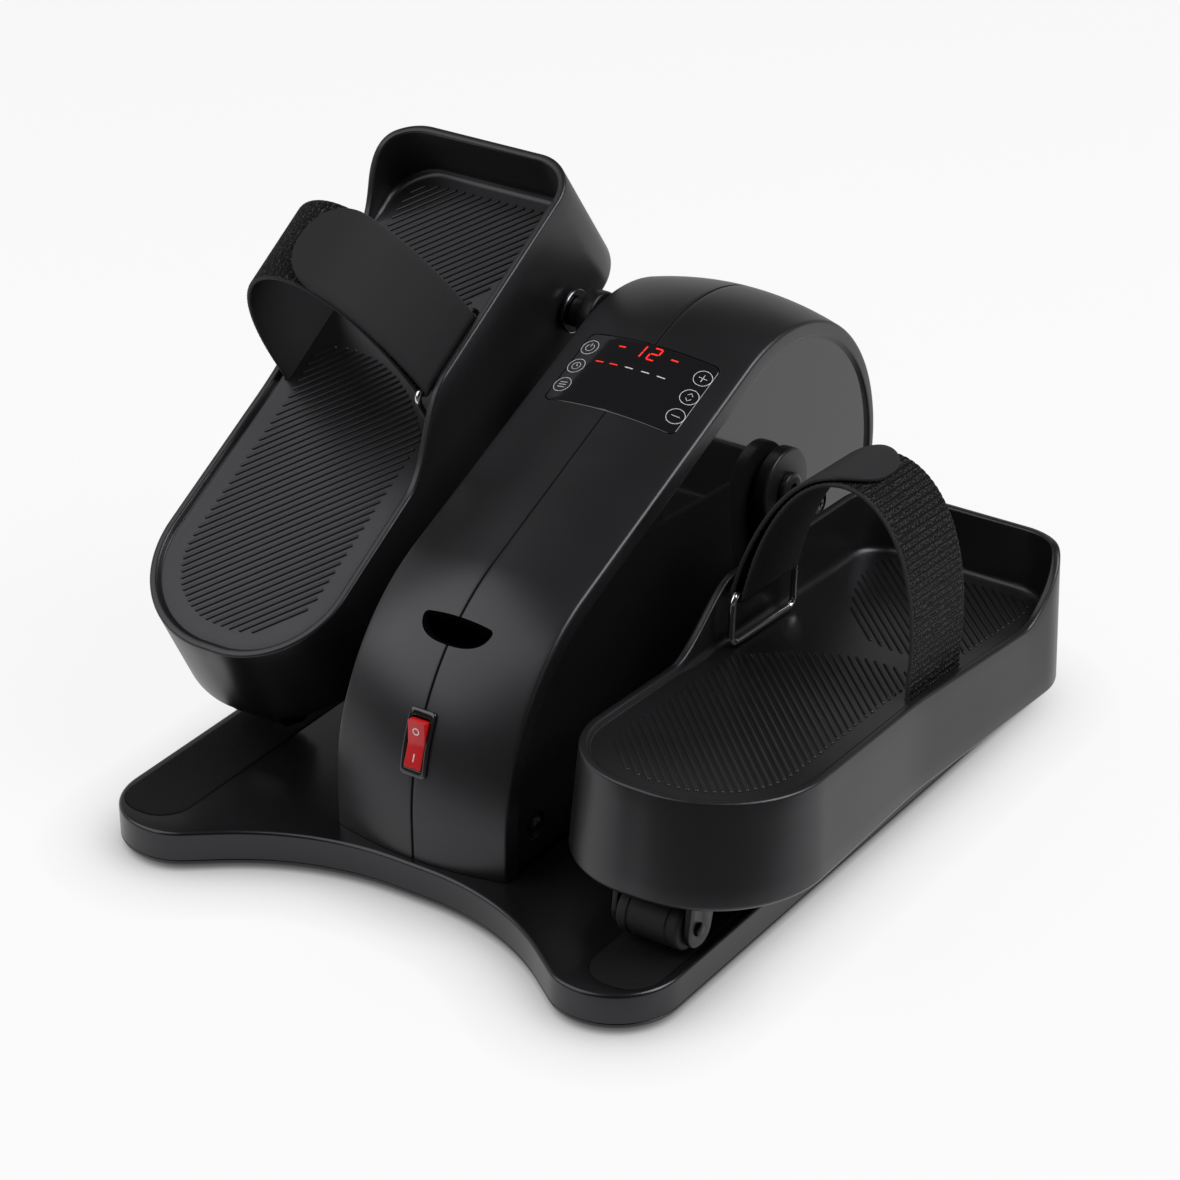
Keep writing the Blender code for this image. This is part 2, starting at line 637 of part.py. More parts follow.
def make_switch():
    place = front_frame(SWITCH_ANGLE)
    seat = CROWN + GAP
    top = seat + SWITCH_FLANGE
    half_width, half_length = SWITCH_WIDTH / 2, SWITCH_LENGTH / 2
    step = SWITCH_RIM / 2 + GAP
    body = rounded_box(half_width - step, half_length - step, SMALL_RADIUS)
    flange = rounded_box(half_width, half_length, SMALL_RADIUS)
    edge = rounded_box(half_width - SWITCH_EDGE, half_length - SWITCH_EDGE, SMALL_RADIUS)
    steps = [(body, seat - SWITCH_BODY_DEPTH), (body, seat), (flange, seat)]
    steps += [(flange, top - SWITCH_EDGE), (edge, top)]
    bezel = add_solid("switch_bezel", *loft([place(level(o, z)) for o, z in steps]), plastic())
    mouth = rounded_box(half_width - SWITCH_RIM, half_length - SWITCH_END_RIM, SWITCH_EDGE)
    room = [place(level(mouth, z)) for z in (top - SWITCH_POCKET_DEPTH, top + SWITCH_FLANGE)]
    cut(bezel, add_solid("switch_room", *loft(room), plastic(), helper=True))

    pivot = place([(0, 0, top - BUTTON_PIVOT_DEPTH)])[0]
    axis = add_axis("switch_axis", pivot, SWITCH_ANGLE - math.pi / 2 + BUTTON_TILT)
    reach = half_length - SWITCH_END_RIM - BUTTON_SLACK
    width = half_width - SWITCH_RIM - GAP
    along = np.linspace(-1, 1, 9)
    dished = BUTTON_RISE - BUTTON_DISH * np.cos(along * math.pi / 2)
    side_view = [(reach * a, z) for a, z in zip(along, dished)]
    side_view += [(reach, 0.0), (reach / 2, -BUTTON_KEEL), (-reach / 2, -BUTTON_KEEL), (-reach, 0.0)]
    rings = [across(np.array(side_view), x) for x in (-width, width)]
    add_solid("switch_rocker", *loft(rings), red_plastic(), axis)


def make_drive(crank_axis):
    axle, motor = (AXLE_Y, AXLE_Z), (MOTOR_Y, MOTOR_Z)
    upright = belt_outline(
        [
            (*axle, PLATE_BOSS_RADIUS),
            (*motor, MOTOR_RADIUS),
            (PLATE_FRONT_Y, BASE_TOP + GAP, 0),
            (PLATE_REAR_Y, BASE_TOP + GAP, 0),
        ]
    )
    for side, sign in SIDES.items():
        faces = (sign * PLATE_X, sign * (PLATE_X + PLATE_THICKNESS))
        plate = add_solid(f"frame_upright_{side}", *loft([across(upright, x) for x in faces]), steel())
        holes = (("bearing", axle, BEARING_RADIUS + GAP), ("shaft", motor, SHAFT_HOLE_RADIUS))
        for hole, spot, radius in holes:
            reach = [(sign * x, radius) for x in (PLATE_X - CUT_PAST, PLATE_X + CUT_PAST)]
            cut(plate, turned(f"{hole}_hole_{side}", reach, spot, steel(), helper=True))
        start = PLATE_X + PLATE_THICKNESS - BEARING_WIDTH
        ring = [(sign * start, BEARING_RADIUS), (sign * (start + BEARING_WIDTH), BEARING_RADIUS)]
        turned(f"axle_bearing_{side}", ring, axle, steel(), bore=AXLE_RADIUS + GAP)

    end = PLATE_X - GAP
    far = BELT_X + BELT_WIDTH
    shape = [(-end, MOTOR_RADIUS - MOTOR_CHAMFER), (MOTOR_CHAMFER - end, MOTOR_RADIUS), (end, MOTOR_RADIUS)]
    shape += [(end, MOTOR_SHAFT_RADIUS), (far, MOTOR_SHAFT_RADIUS)]
    turned("drive_motor", shape, motor, dark_steel())
    motor_axis = add_axis("motor_axis", (0, *motor))
    small = [(BELT_X, MOTOR_PULLEY_RADIUS), (far, MOTOR_PULLEY_RADIUS)]
    turned("motor_pulley", small, (0, 0), dark_steel(), motor_axis, bore=MOTOR_SHAFT_RADIUS + GAP)
    web = (BELT_WIDTH - PULLEY_WEB) / 2
    inner, hub = DRIVEN_PULLEY_RADIUS - 2 * PULLEY_WEB, 2 * AXLE_RADIUS
    large = [(BELT_X, hub), (BELT_X + web, hub), (BELT_X + web, inner), (BELT_X, inner)]
    large.append((BELT_X, DRIVEN_PULLEY_RADIUS))
    large += [(2 * BELT_X + BELT_WIDTH - x, r) for x, r in large[::-1]]
    turned("driven_pulley", large, (0, 0), dark_steel(), crank_axis, bore=AXLE_RADIUS + GAP)

    slack = [(*axle, DRIVEN_PULLEY_RADIUS + GAP), (*motor, MOTOR_PULLEY_RADIUS + GAP)]
    inside = belt_outline(slack, 10)
    outside = grown(inside, BELT_THICKNESS)
    near, far = BELT_X + GAP, far - GAP
    rings = [across(outside, near), across(outside, far), across(inside, far), across(inside, near)]
    add_solid("drive_belt", *loft(rings, closed=True), rubber())


def make_crank(crank_axis):
    reach = CRANK_OUTER_X
    rod = [(reach - ROD_CHAMFER, AXLE_RADIUS), (reach, AXLE_RADIUS - ROD_CHAMFER)]
    rod = [(-x, r) for x, r in rod[::-1]] + rod
    turned("crank_axle", rod, (0, 0), steel(), crank_axis)
    washer_x = PEDAL_INNER - SKIRT_FLARE - GAP - WASHER_THICKNESS
    for side, sign in SIDES.items():
        pin = (0.0, PIN_Z[side] - AXLE_Z)
        outline = evenly(belt_outline([(0, 0, HUB_RADIUS), (*pin, EYE_RADIUS)]), ARM_POINTS)
        slim = grown(outline, -ARM_CHAMFER)
        steps = [(CRANK_X, slim), (CRANK_X + ARM_CHAMFER, outline)]
        steps += [(reach - ARM_CHAMFER, outline), (reach, slim)]
        shape = loft([across(o, sign * x) for x, o in steps])
        arm = add_solid(f"crank_arm_{side}", *shape, dark_steel(), crank_axis)
        for hole, spot, radius in (("axle", (0, 0), AXLE_RADIUS), ("pin", pin, PIN_RADIUS)):
            bore = [(sign * x, radius + GAP) for x in (CRANK_X - CUT_PAST, reach + CUT_PAST)]
            cut(arm, turned(f"arm_{hole}_bore_{side}", bore, spot, steel(), crank_axis, helper=True))
        start, top = reach + GAP, reach + GAP + BOLT_HEIGHT
        head = [(start, BOLT_RADIUS), (top - BOLT_DOME, BOLT_RADIUS), (top, BOLT_RADIUS - 2 * BOLT_DOME)]
        turned(f"crank_bolt_{side}", [(sign * x, r) for x, r in head], (0, 0), dark_steel(), crank_axis)
        nut_x = PEDAL_INNER + SKIRT_WALL + NUT_STANDOFF
        end = nut_x + NUT_LENGTH + ROD_CHAMFER
        rod = [(CRANK_X, PIN_RADIUS), (reach + GAP, PIN_RADIUS), (reach + GAP, COLLAR_RADIUS)]
        rod += [(washer_x - GAP, COLLAR_RADIUS), (washer_x - GAP, PIN_RADIUS), (end, PIN_RADIUS)]
        turned(f"crank_pin_{side}", [(sign * x, r) for x, r in rod], pin, dark_steel(), crank_axis)
        ring = [(sign * washer_x, WASHER_RADIUS), (sign * (washer_x + WASHER_THICKNESS), WASHER_RADIUS)]
        turned(f"pin_washer_{side}", ring, pin, dark_steel(), crank_axis, bore=PIN_RADIUS + GAP)
        nut = [(sign * nut_x, NUT_RADIUS), (sign * (nut_x + NUT_LENGTH), NUT_RADIUS)]
        turned(f"pin_nut_{side}", nut, pin, steel(), crank_axis, bore=PIN_RADIUS + GAP)


def pedal_outline():
    """Foot plate outline as (x, y), seen from above, for the right foot."""
    inner, outer = PEDAL_INNER, PEDAL_OUTER
    corners = [
        (inner + PEDAL_HEEL_NARROWING, PEDAL_HEEL_Y, HEEL_INNER_RADIUS),
        (outer, PEDAL_HEEL_Y, HEEL_OUTER_RADIUS),
        (outer - PEDAL_WAIST, PEDAL_WAIST_Y, WAIST_RADIUS),
        (outer, PEDAL_TOE_Y, TOE_OUTER_RADIUS),
        (inner, PEDAL_TOE_Y, TOE_INNER_RADIUS),
    ]
    return evenly(rounded(corners, 12), OUTLINE_POINTS)


def rim_height(outline):
    """Height of the rim: raised along the instep and round the toe, with an easy curve at both ends."""
    x, y = outline.T
    instep = smooth_step((y - WALL_START_Y) / WALL_RISE)
    outer = smooth_step((y - WALL_OUTER_Y) / WALL_OUTER_RISE)
    middle = PEDAL_INNER + PEDAL_WIDTH / 2
    return RIM_Z + WALL_HEIGHT * np.where(x < middle, instep, outer)


def skirt_bottom(outline):
    share = (PEDAL_TOE_Y - outline[:, 1]) / (PEDAL_TOE_Y - PEDAL_HEEL_Y)
    return RIM_Z - SKIRT_TOE_DEPTH - (SKIRT_HEEL_DEPTH - SKIRT_TOE_DEPTH) * share


def handed(sign, shape):
    points, faces = shape
    return points * np.array([sign, 1, 1]), faces


def make_pedal(side, sign, axis):
    outline = pedal_outline()
    bottom, rim, edge = skirt_bottom(outline), rim_height(outline), SKIRT_EDGE_RADIUS
    flared = grown(outline, SKIRT_FLARE)
    rings = [
        level(grown(flared, -edge), bottom),
        level(grown(flared, -edge / 3), bottom + edge / 3),
        level(flared, bottom + edge),
        level(outline, rim - RIM_WIDTH / 3),
        level(grown(outline, -RIM_WIDTH / 3), rim),
        level(grown(outline, -2 * RIM_WIDTH / 3), rim),
        level(grown(outline, -RIM_WIDTH), rim - RIM_WIDTH / 3),
        level(grown(outline, -RIM_WIDTH - FOOTBED_EDGE_STEP), FOOTBED_Z),
    ]
    shell = add_solid(f"foot_plate_{side}", *handed(sign, loft(rings)), plastic(), axis)
    under = FOOTBED_Z - FOOTBED_THICKNESS
    room = [level(grown(flared, -SKIRT_WALL), bottom - edge)]
    room.append(level(grown(outline, -SKIRT_WALL - RIM_WIDTH / 3), under))
    cut(shell, add_solid(f"foot_plate_room_{side}", *handed(sign, loft(room)), plastic(), axis, helper=True))
    slot = rounded_box(STRAP_THICKNESS / 2 + GAP, STRAP_WIDTH / 2 + GAP, SMALL_RADIUS, (STRAP_FOOT_X, STRAP_Y), 3)
    shape = loft([level(slot, under - SKIRT_WALL), level(slot, RIM_Z)])
    cut(shell, add_solid(f"strap_slot_{side}", *handed(sign, shape), plastic(), axis, helper=True))
    reach = [(sign * x, BUSH_RADIUS + GAP) for x in (PEDAL_INNER - CUT_PAST, PEDAL_INNER + CUT_PAST)]
    cut(shell, turned(f"bush_bore_{side}", reach, (0, 0), plastic(), axis, helper=True))
    ends = (PEDAL_INNER - SKIRT_FLARE, PEDAL_INNER + SKIRT_WALL + BUSH_STANDS_IN)
    sleeve = [(sign * x, BUSH_RADIUS) for x in ends]
    turned(f"pin_bush_{side}", sleeve, (0, 0), rubber(), axis, bore=PIN_RADIUS + GAP)


def roller_drop():
    """Height of the roller's axle in the foot plate's frame, so that it stands over the track at rest."""
    tilt = PEDAL_TILT["right"]
    return (ROLLER_Z - PIN_Z["right"] - ROLLER_Y * math.sin(tilt)) / math.cos(tilt)


def make_roller(side, sign, axis):
    drop = roller_drop()
    spot = (ROLLER_Y, drop)
    ceiling = FOOTBED_Z - FOOTBED_THICKNESS - GAP
    half = BRACKET_LENGTH / 2
    ahead = ROLLER_Y + BRACKET_AHEAD
    corners = [(ahead - half, ceiling, 0), (ahead + half, ceiling, 0)]
    cheek = belt_outline([(*spot, BRACKET_EYE_RADIUS), *corners])
    inner = ROLLER_WIDTH / 2 + ROLLER_SIDE_CLEARANCE
    outer = inner + BRACKET_WALL
    shape = loft([across(cheek, sign * (ROLLER_CENTRE_X + x)) for x in (-outer, outer)])
    bracket = add_solid(f"roller_bracket_{side}", *shape, dark_steel(), axis)
    reach, low, high = 2 * BRACKET_LENGTH, drop - 2 * ROLLER_RADIUS, ceiling - BRACKET_WALL
    fork = [(ahead - reach, low), (ahead + reach, low), (ahead + reach, high), (ahead - reach, high)]
    shape = loft([across(np.array(fork), sign * (ROLLER_CENTRE_X + x)) for x in (-inner, inner)])
    cut(bracket, add_solid(f"bracket_room_{side}", *shape, dark_steel(), axis, helper=True))
    ends = (ROLLER_CENTRE_X - outer - BRACKET_AXLE_END, ROLLER_CENTRE_X + outer + BRACKET_AXLE_END)
    rod = [(sign * x, ROLLER_AXLE_RADIUS) for x in ends]
    bore = [(sign * x, ROLLER_AXLE_RADIUS + GAP) for x in (ends[0] - CUT_PAST, ends[1] + CUT_PAST)]
    cut(bracket, turned(f"bracket_bore_{side}", bore, spot, dark_steel(), axis, helper=True))
    turned(f"roller_axle_{side}", rod, spot, dark_steel(), axis)
    roller_axis = add_axis(f"roller_axis_{side}", (0, *spot), parent=axis)
    low, high = ROLLER_CENTRE_X - ROLLER_WIDTH / 2, ROLLER_CENTRE_X + ROLLER_WIDTH / 2
    wheel = [(low, ROLLER_RADIUS - ROLLER_EDGE), (low + ROLLER_EDGE, ROLLER_RADIUS)]
    wheel += [(high - ROLLER_EDGE, ROLLER_RADIUS), (high, ROLLER_RADIUS - ROLLER_EDGE)]
    wheel = [(sign * x, r) for x, r in wheel]
    turned(f"heel_roller_{side}", wheel, (0, 0), rubber(), roller_axis, bore=ROLLER_AXLE_RADIUS + GAP)


def strap_path():
    """Middle line of the band as (x, z): up from its slot, over the foot, round the loop and back."""
    clear = LOOP_WIRE_RADIUS + GAP + STRAP_THICKNESS / 2
    start, foot = (STRAP_FOOT_X, FOOTBED_Z - STRAP_TAIL), (STRAP_FOOT_X, FOOTBED_Z + STRAP_UPRIGHT)
    end = (LOOP_X + clear, LOOP_TOP_Z + GAP)
    pull = (8 * STRAP_TOP_Z - foot[1] - end[1]) / 6
    share = np.linspace(0, 1, STRAP_STEPS)[:, None]
    knots = [foot, (STRAP_FOOT_X + STRAP_BULGE, pull - STRAP_LEAN)]
    knots += [(LOOP_X + STRAP_SHOULDER, pull + STRAP_LEAN), end]
    weights = ((1 - share) ** 3, 3 * share * (1 - share) ** 2, 3 * share**2 * (1 - share), share**3)
    arch = sum(weight * np.array(knot) for weight, knot in zip(weights, knots))
    fold = arc((LOOP_X, LOOP_TOP_Z), clear, 0, -math.pi, 9)
    ahead = np.gradient(arch, axis=0)
    outward = np.column_stack([ahead[:, 1], -ahead[:, 0]])
    outward /= np.linalg.norm(outward, axis=1, keepdims=True)
    opening = np.clip((share - STRAP_MERGE) / (1 - STRAP_MERGE), 0, 1) ** 2
    tongue = (arch + outward * (STRAP_LAYER_STEP + (2 * clear - STRAP_LAYER_STEP) * opening))[::-1]
    tongue = tongue[1 : int(STRAP_STEPS * (1 - STRAP_TONGUE_END))]
    return np.vstack([[start], arch, fold[1:], tongue])


def make_strap(side, sign, axis):
    path = strap_path()
    ahead = np.gradient(path, axis=0)
    outward = np.column_stack([ahead[:, 1], -ahead[:, 0]])
    outward /= np.linalg.norm(outward, axis=1, keepdims=True)
    rings = []
    low, high = path - outward * STRAP_THICKNESS / 2, path + outward * STRAP_THICKNESS / 2
    front, back = STRAP_Y - STRAP_WIDTH / 2, STRAP_Y + STRAP_WIDTH / 2
    for a, b in zip(low, high):
        corners = [(a[0], front, a[1]), (b[0], front, b[1]), (b[0], back, b[1]), (a[0], back, a[1])]
        rings.append(np.array(corners))
    add_solid(f"foot_strap_{side}", *handed(sign, loft(rings)), webbing(), axis)

    middle, half = (LOOP_TOP_Z + LOOP_BOTTOM_Z) / 2, (LOOP_TOP_Z - LOOP_BOTTOM_Z) / 2
    frame = rounded_box(LOOP_WIDTH / 2, half, LOOP_CORNER_RADIUS, (STRAP_Y, middle), 4)
    wire = arc((0, 0), LOOP_WIRE_RADIUS, 0, 2 * math.pi, 9)[:-1]
    rings = [across(grown(frame, out), LOOP_X + aside) for out, aside in wire]
    add_solid(f"strap_loop_{side}", *handed(sign, loft(rings, closed=True)), steel(), axis)


def main():
    clear_scene()
    make_base()
    make_housing()
    make_controls()
    make_switch()
    crank_axis = add_axis("crank_axis", (0, AXLE_Y, AXLE_Z))
    make_drive(crank_axis)
    make_crank(crank_axis)
    for side, sign in SIDES.items():
        axis = add_axis(f"pedal_axis_{side}", (0, AXLE_Y, PIN_Z[side]), PEDAL_TILT[side])
        make_pedal(side, sign, axis)
        make_roller(side, sign, axis)
        make_strap(side, sign, axis)


main()
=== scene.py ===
"""Visual pieces of an under-desk pedal exerciser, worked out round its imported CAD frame.

Laid out as an add-on and run as a script: main() registers the operators and builds the pieces and the stage.
Metres, +Z up, X to the right of the user, Y away from the user, origin on the floor under the middle.
"""

import json
import math

import bpy
import numpy as np
from bpy.props import FloatProperty, FloatVectorProperty, PointerProperty
from mathutils import Matrix, Vector


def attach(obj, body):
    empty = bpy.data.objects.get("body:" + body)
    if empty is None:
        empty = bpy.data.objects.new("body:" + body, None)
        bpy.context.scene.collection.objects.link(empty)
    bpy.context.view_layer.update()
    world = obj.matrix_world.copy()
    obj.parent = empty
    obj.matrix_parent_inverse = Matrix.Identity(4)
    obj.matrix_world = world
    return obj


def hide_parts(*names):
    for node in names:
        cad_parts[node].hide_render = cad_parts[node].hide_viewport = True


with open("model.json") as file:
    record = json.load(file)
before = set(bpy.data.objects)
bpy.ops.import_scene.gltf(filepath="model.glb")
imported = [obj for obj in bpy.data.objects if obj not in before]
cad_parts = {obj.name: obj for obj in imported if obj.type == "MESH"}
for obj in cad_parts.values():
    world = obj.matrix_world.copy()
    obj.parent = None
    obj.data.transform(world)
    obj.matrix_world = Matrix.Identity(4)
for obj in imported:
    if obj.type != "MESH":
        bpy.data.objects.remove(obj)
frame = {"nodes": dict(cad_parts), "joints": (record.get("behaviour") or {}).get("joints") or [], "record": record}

bl_info = {
    "name": "Pedal exerciser",
    "version": (1, 0, 0),
    "blender": (4, 5, 0),
    "location": "View3D > Sidebar > Exerciser",
    "description": "Builds the visual pieces of an under-desk pedal exerciser round its CAD frame",
    "category": "Add Mesh",
}

JOINT_AT = {joint["name"]: joint["pos_m"] for joint in frame["joints"]}
SLOT_COLOUR = {entry["slot"]: entry["base_color"] for entry in frame["record"]["materials"]}
SIDES = {"left": -1, "right": 1}

GAP = 0.0003  # clearance between pieces that touch
ROUND = 72  # facets round a turned piece
CUT_PAST = 0.010  # how far a cutter reaches past the wall it goes through

# Base plate, roller tracks and feet
BASE_WIDTH = 0.320
BASE_LENGTH = 0.400
BASE_BOTTOM = 0.003
BASE_TOP = 0.022
BASE_CORNER_RADIUS = 0.034
BASE_EDGE_RADIUS = 0.0020
BASE_FOOT = ((0.002, 0.0), (0.0006, 0.0010), (0.0, 0.0024), (0.0, 0.0030), (0.0005, 0.0033), (0.0, 0.0036))
WAVE_DEPTHS = ((-1, 0.044), (1, 0.026))  # how far the front and rear edges sweep in
WAVE_HALF_WIDTH = 0.056
WAVE_RADIUS = 0.140
LOBE_WIDTH = 0.045
LOBE_RADIUS = 0.030
TRACK_WIDTH = 0.037
TRACK_MARGIN = 0.0045
TRACK_END_MARGIN = 0.010
TRACK_END_RADIUS = 0.017
TRACK_FLOOR = 0.0205
TRACK_TOP = 0.0226
FOOT_RADIUS = 0.012
FOOT_INSET = 0.036

# Fairing: a front arc and a rear drum joined by their common tangent
HALF_WIDTH = 0.050
WALL = 0.0025
CROWN = 0.007
RIM_BAND = 0.010  # width of the side band in front
REAR_RIM_BAND = 0.004  # and at the back of the drum
SIDE_FACE_X = 0.048
FRONT_Y = -0.145
FRONT_RADIUS = 0.110
FRONT_ARC_Z = 0.043
DRUM_RADIUS = 0.090
DRUM_Y = 0.102
DRUM_Z = 0.122
REAR_TUCK = math.radians(20)
SIDE_SCREWS = {"front": (-0.118, 0.040), "rear": (0.140, 0.100)}
STEP_FILLET = 0.0012
SEAM_SHADE_HALF = 0.0005  # half the width of the painted shade line in the joint between the halves
SCREW_RADIUS = 0.004
SCREW_HEIGHT = 0.0025
WELL_RADIUS = 0.0075
WELL_DEPTH = 0.0015

# Panel, recess, switch and inlet
PANEL_Y = 0.040
PANEL_WIDTH = 0.077
PANEL_LENGTH = 0.048
PANEL_THICKNESS = 0.0025
PANEL_CORNER = 0.004
CUP_ANGLE = math.radians(133)
CUP_HALF_WIDTH = 0.020
CUP_HEIGHT = 0.0135
CUP_BOW = 0.0015
CUP_FULLNESS = 0.8
CUP_SOFTNESS = 5  # neighbours on each side, of 180 points in all
CUP_DEPTH = 0.020
CUP_WALL = 0.0016
# Steps of (inwards, down) over the cup's edge.
CUP_LIP = ((0.0, 0.0005), (0.0002, 0.0002), (0.0006, 0.0006), (CUP_WALL, 0.0040))
SWITCH_ANGLE = math.radians(160)
SWITCH_LENGTH = 0.033
SWITCH_WIDTH = 0.0148
SWITCH_FLANGE = 0.0014
SWITCH_RIM = 0.0022
SWITCH_END_RIM = 0.0038
SWITCH_BODY = 0.016
SWITCH_POCKET = 0.011
BUTTON_SLACK = 0.0008
BUTTON_RISE = 0.0052
BUTTON_DISH = 0.0022
BUTTON_TILT = math.radians(9)
BUTTON_PIVOT_DEPTH = 0.0035
BUTTON_KEEL = 0.003
VALLEY = 0.12  # how softly the two planes of the rocker meet, as a share of its half length
INLET_WIDTH = 0.026
INLET_HEIGHT = 0.018
INLET_DEPTH = 0.015
INLET_WALL = 0.003
INLET_CORNER = 0.002

# Cranks
AXLE_Y, AXLE_Z = JOINT_AT["crank_turn"][1:]
AXLE_RADIUS = 0.006
AXLE_HOLE_RADIUS = 0.0085
CRANK_X = 0.0508
CRANK_OUTER_X = 0.0588
HUB_RADIUS = 0.021
EYE_RADIUS = 0.014
BOLT_RADIUS = 0.009
PIN_RADIUS = 0.005
COLLAR_RADIUS = 0.008
WASHER_X = 0.0677
WASHER_RADIUS = 0.0115
WASHER_THICKNESS = 0.002
BUSH_RADIUS = 0.008
NUT_X = 0.081
NUT_RADIUS = 0.0095
NUT_LENGTH = 0.006

# Foot plates, in a frame at the crank pin: X across, Y towards the toe, Z up from the pin
PIN_Z = {side: JOINT_AT[f"pedal_pivot_{side}"][2] for side in SIDES}
PEDAL_TILT = {"left": math.radians(31.3), "right": math.radians(-4.0)}
PEDAL_INNER = 0.073
PEDAL_WIDTH = 0.1246
PEDAL_OUTER = PEDAL_INNER + PEDAL_WIDTH
PEDAL_WAIST = 0.006
PEDAL_WAIST_Y = -0.100
PEDAL_HEEL_NARROWING = 0.006
PEDAL_HEEL_Y = -0.252
PEDAL_TOE_Y = 0.052
HEEL_INNER_RADIUS = 0.050
HEEL_OUTER_RADIUS = 0.058
WAIST_RADIUS = 0.300
TOE_OUTER_RADIUS = 0.030
TOE_INNER_RADIUS = 0.025
RIM_Z = 0.025
FOOTBED_Z = 0.022
FOOTBED_UNDER = 0.017
RIM_WIDTH = 0.0045
SKIRT_HEEL_DEPTH = 0.055
SKIRT_TOE_DEPTH = 0.040
SKIRT_WALL = 0.004
SKIRT_FLARE = 0.003
SKIRT_EDGE = 0.003
WALL_HEIGHT = 0.030
WALL_START_Y = -0.140
WALL_RISE = 0.055
WALL_OUTER_Y = 0.000
WALL_OUTER_RISE = 0.045
OUTLINE_POINTS = 360

# Heel rollers
ROLLER_X = 0.1375
ROLLER_Y = -0.235
ROLLER_Z = -0.0464
ROLLER_RADIUS = 0.012
ROLLER_WIDTH = 0.034
ROLLER_AXLE_RADIUS = 0.003
BRACKET_INNER = 0.0182
BRACKET_OUTER = 0.0212
BRACKET_TOP = (-0.237, -0.209)
BRACKET_EYE = 0.0095

# Straps and wire loops
STRAP_Y = -0.071
STRAP_WIDTH = 0.050
STRAP_THICKNESS = 0.0025
STRAP_LAYER_STEP = 0.0031
STRAP_TOP_Z = 0.120
STRAP_FOOT_X = 0.183
STRAP_TAIL = 0.014
STRAP_TONGUE_END = {"left": 0.52, "right": 0.46}  # where each band has been closed
TONGUE_ROUND = 0.0225
STRAP_UPRIGHT = 0.010
STRAP_BULGE = 0.007
STRAP_LEAN = 0.010
STRAP_SHOULDER = 0.024
STRAP_MERGE = 0.70
THREAD_SIZE = 0.0011
LOOP_X = 0.0875
LOOP_WIRE = 0.0018
LOOP_WIDTH = 0.058
LOOP_TOP_Z = 0.050
LOOP_BOTTOM_Z = 0.0242
LOOP_CORNER = 0.005


def length(name, description, default):
    return FloatProperty(name=name, description=description, default=default, unit="LENGTH")


def colour(name, description, default):
    ends = {"min": 0, "max": 1}
    return FloatVectorProperty(name=name, description=description, default=default, subtype="COLOR", **ends)


class ExerciserLook(bpy.types.PropertyGroup):
    """Sizes and colours of the visual pieces."""

    rim_fillet: length("Rim fillet", "Radius of the fairing's side edge", 0.0022)
    seam_depth: length("Seam depth", "Depth of the groove between the halves", 0.0006)
    rib_pitch: length("Rib pitch", "Distance from rib to rib on the footbed", 0.0038)
    rib_width: length("Rib width", "Width of a rib on the footbed", 0.0019)
    rib_height: length("Rib height", "Height of a rib on the footbed", 0.0008)
    weave_pitch: length("Weave pitch", "Distance from row to row of the strap's weave", 0.0034)
    weave_depth: length("Weave depth", "Depth of the rows of the strap's weave", 0.0004)
    plastic: colour("Plastic", "Colour of the moulded plastic", (0.0075, 0.0075, 0.0082))
    webbing: colour("Webbing", "Colour of the straps", SLOT_COLOUR["strap_webbing"])
    rocker: colour("Rocker", "Colour of the power switch", SLOT_COLOUR["red_rocker"])
    lit: colour("Lit marks", "Colour of the lit number", (1.0, 0.025, 0.015))


def look():
    return bpy.context.scene.exerciser


# Outlines


def arc(centre, radius, start, stop, steps):
    """Points on a circle: centre plus radius times (cos, sin) of an angle that runs from start to stop."""
    angle = np.linspace(start, stop, steps)
    return np.array(centre) + radius * np.column_stack([np.cos(angle), np.sin(angle)])


def circle(centre, radius, count=ROUND):
    return arc(centre, radius, 0, 2 * math.pi, count + 1)[:-1]


def rounded(corners, steps=9):
    """A closed outline through corners of (x, y, radius), each an arc that its two edges have room for."""
    spots = np.array(corners, float)
    places, radii = spots[:, :2], spots[:, 2]
    to_next = np.roll(places, -1, axis=0) - places
    length = np.linalg.norm(to_next, axis=1)
    to_next /= length[:, None]
    to_last = -np.roll(to_next, 1, axis=0)
    half = np.arccos(np.clip(np.sum(to_last * to_next, axis=1), -1, 1)) / 2
    used = radii / np.tan(half)
    room = np.minimum(1, 0.98 * length / (used + np.roll(used, -1)))
    radii = radii * np.minimum(room, np.roll(room, 1))
    middle = to_last + to_next
    middle /= np.linalg.norm(middle, axis=1, keepdims=True)
    centre = places + middle * (radii / np.sin(half))[:, None]
    first = places + to_last * (radii / np.tan(half))[:, None] - centre
    last = places + to_next * (radii / np.tan(half))[:, None] - centre
    start = np.arctan2(first[:, 1], first[:, 0])
    swing = (np.arctan2(last[:, 1], last[:, 0]) - start + math.pi) % (2 * math.pi) - math.pi
    angle = start[:, None] + swing[:, None] * np.linspace(0, 1, steps)
    spokes = np.stack([np.cos(angle), np.sin(angle)], axis=-1)
    return (centre[:, None] + radii[:, None, None] * spokes).reshape(-1, 2)


def rounded_box(half_width, half_height, radius, centre=(0.0, 0.0), steps=9):
    signs = ((-1, -1), (1, -1), (1, 1), (-1, 1))
    corners = [(centre[0] + a * half_width, centre[1] + b * half_height, radius) for a, b in signs]
    return rounded(corners, steps)


def run_along(line):
    """Distance from the start of a line to each of its points."""
    return np.concatenate([[0], np.cumsum(np.linalg.norm(np.diff(line, axis=0), axis=1))])


def right_of(line):
    """Unit normals on the right of an open line."""
    ahead = np.gradient(line, axis=0)
    normal = np.column_stack([ahead[:, 1], -ahead[:, 0]])
    return normal / np.linalg.norm(normal, axis=1, keepdims=True)


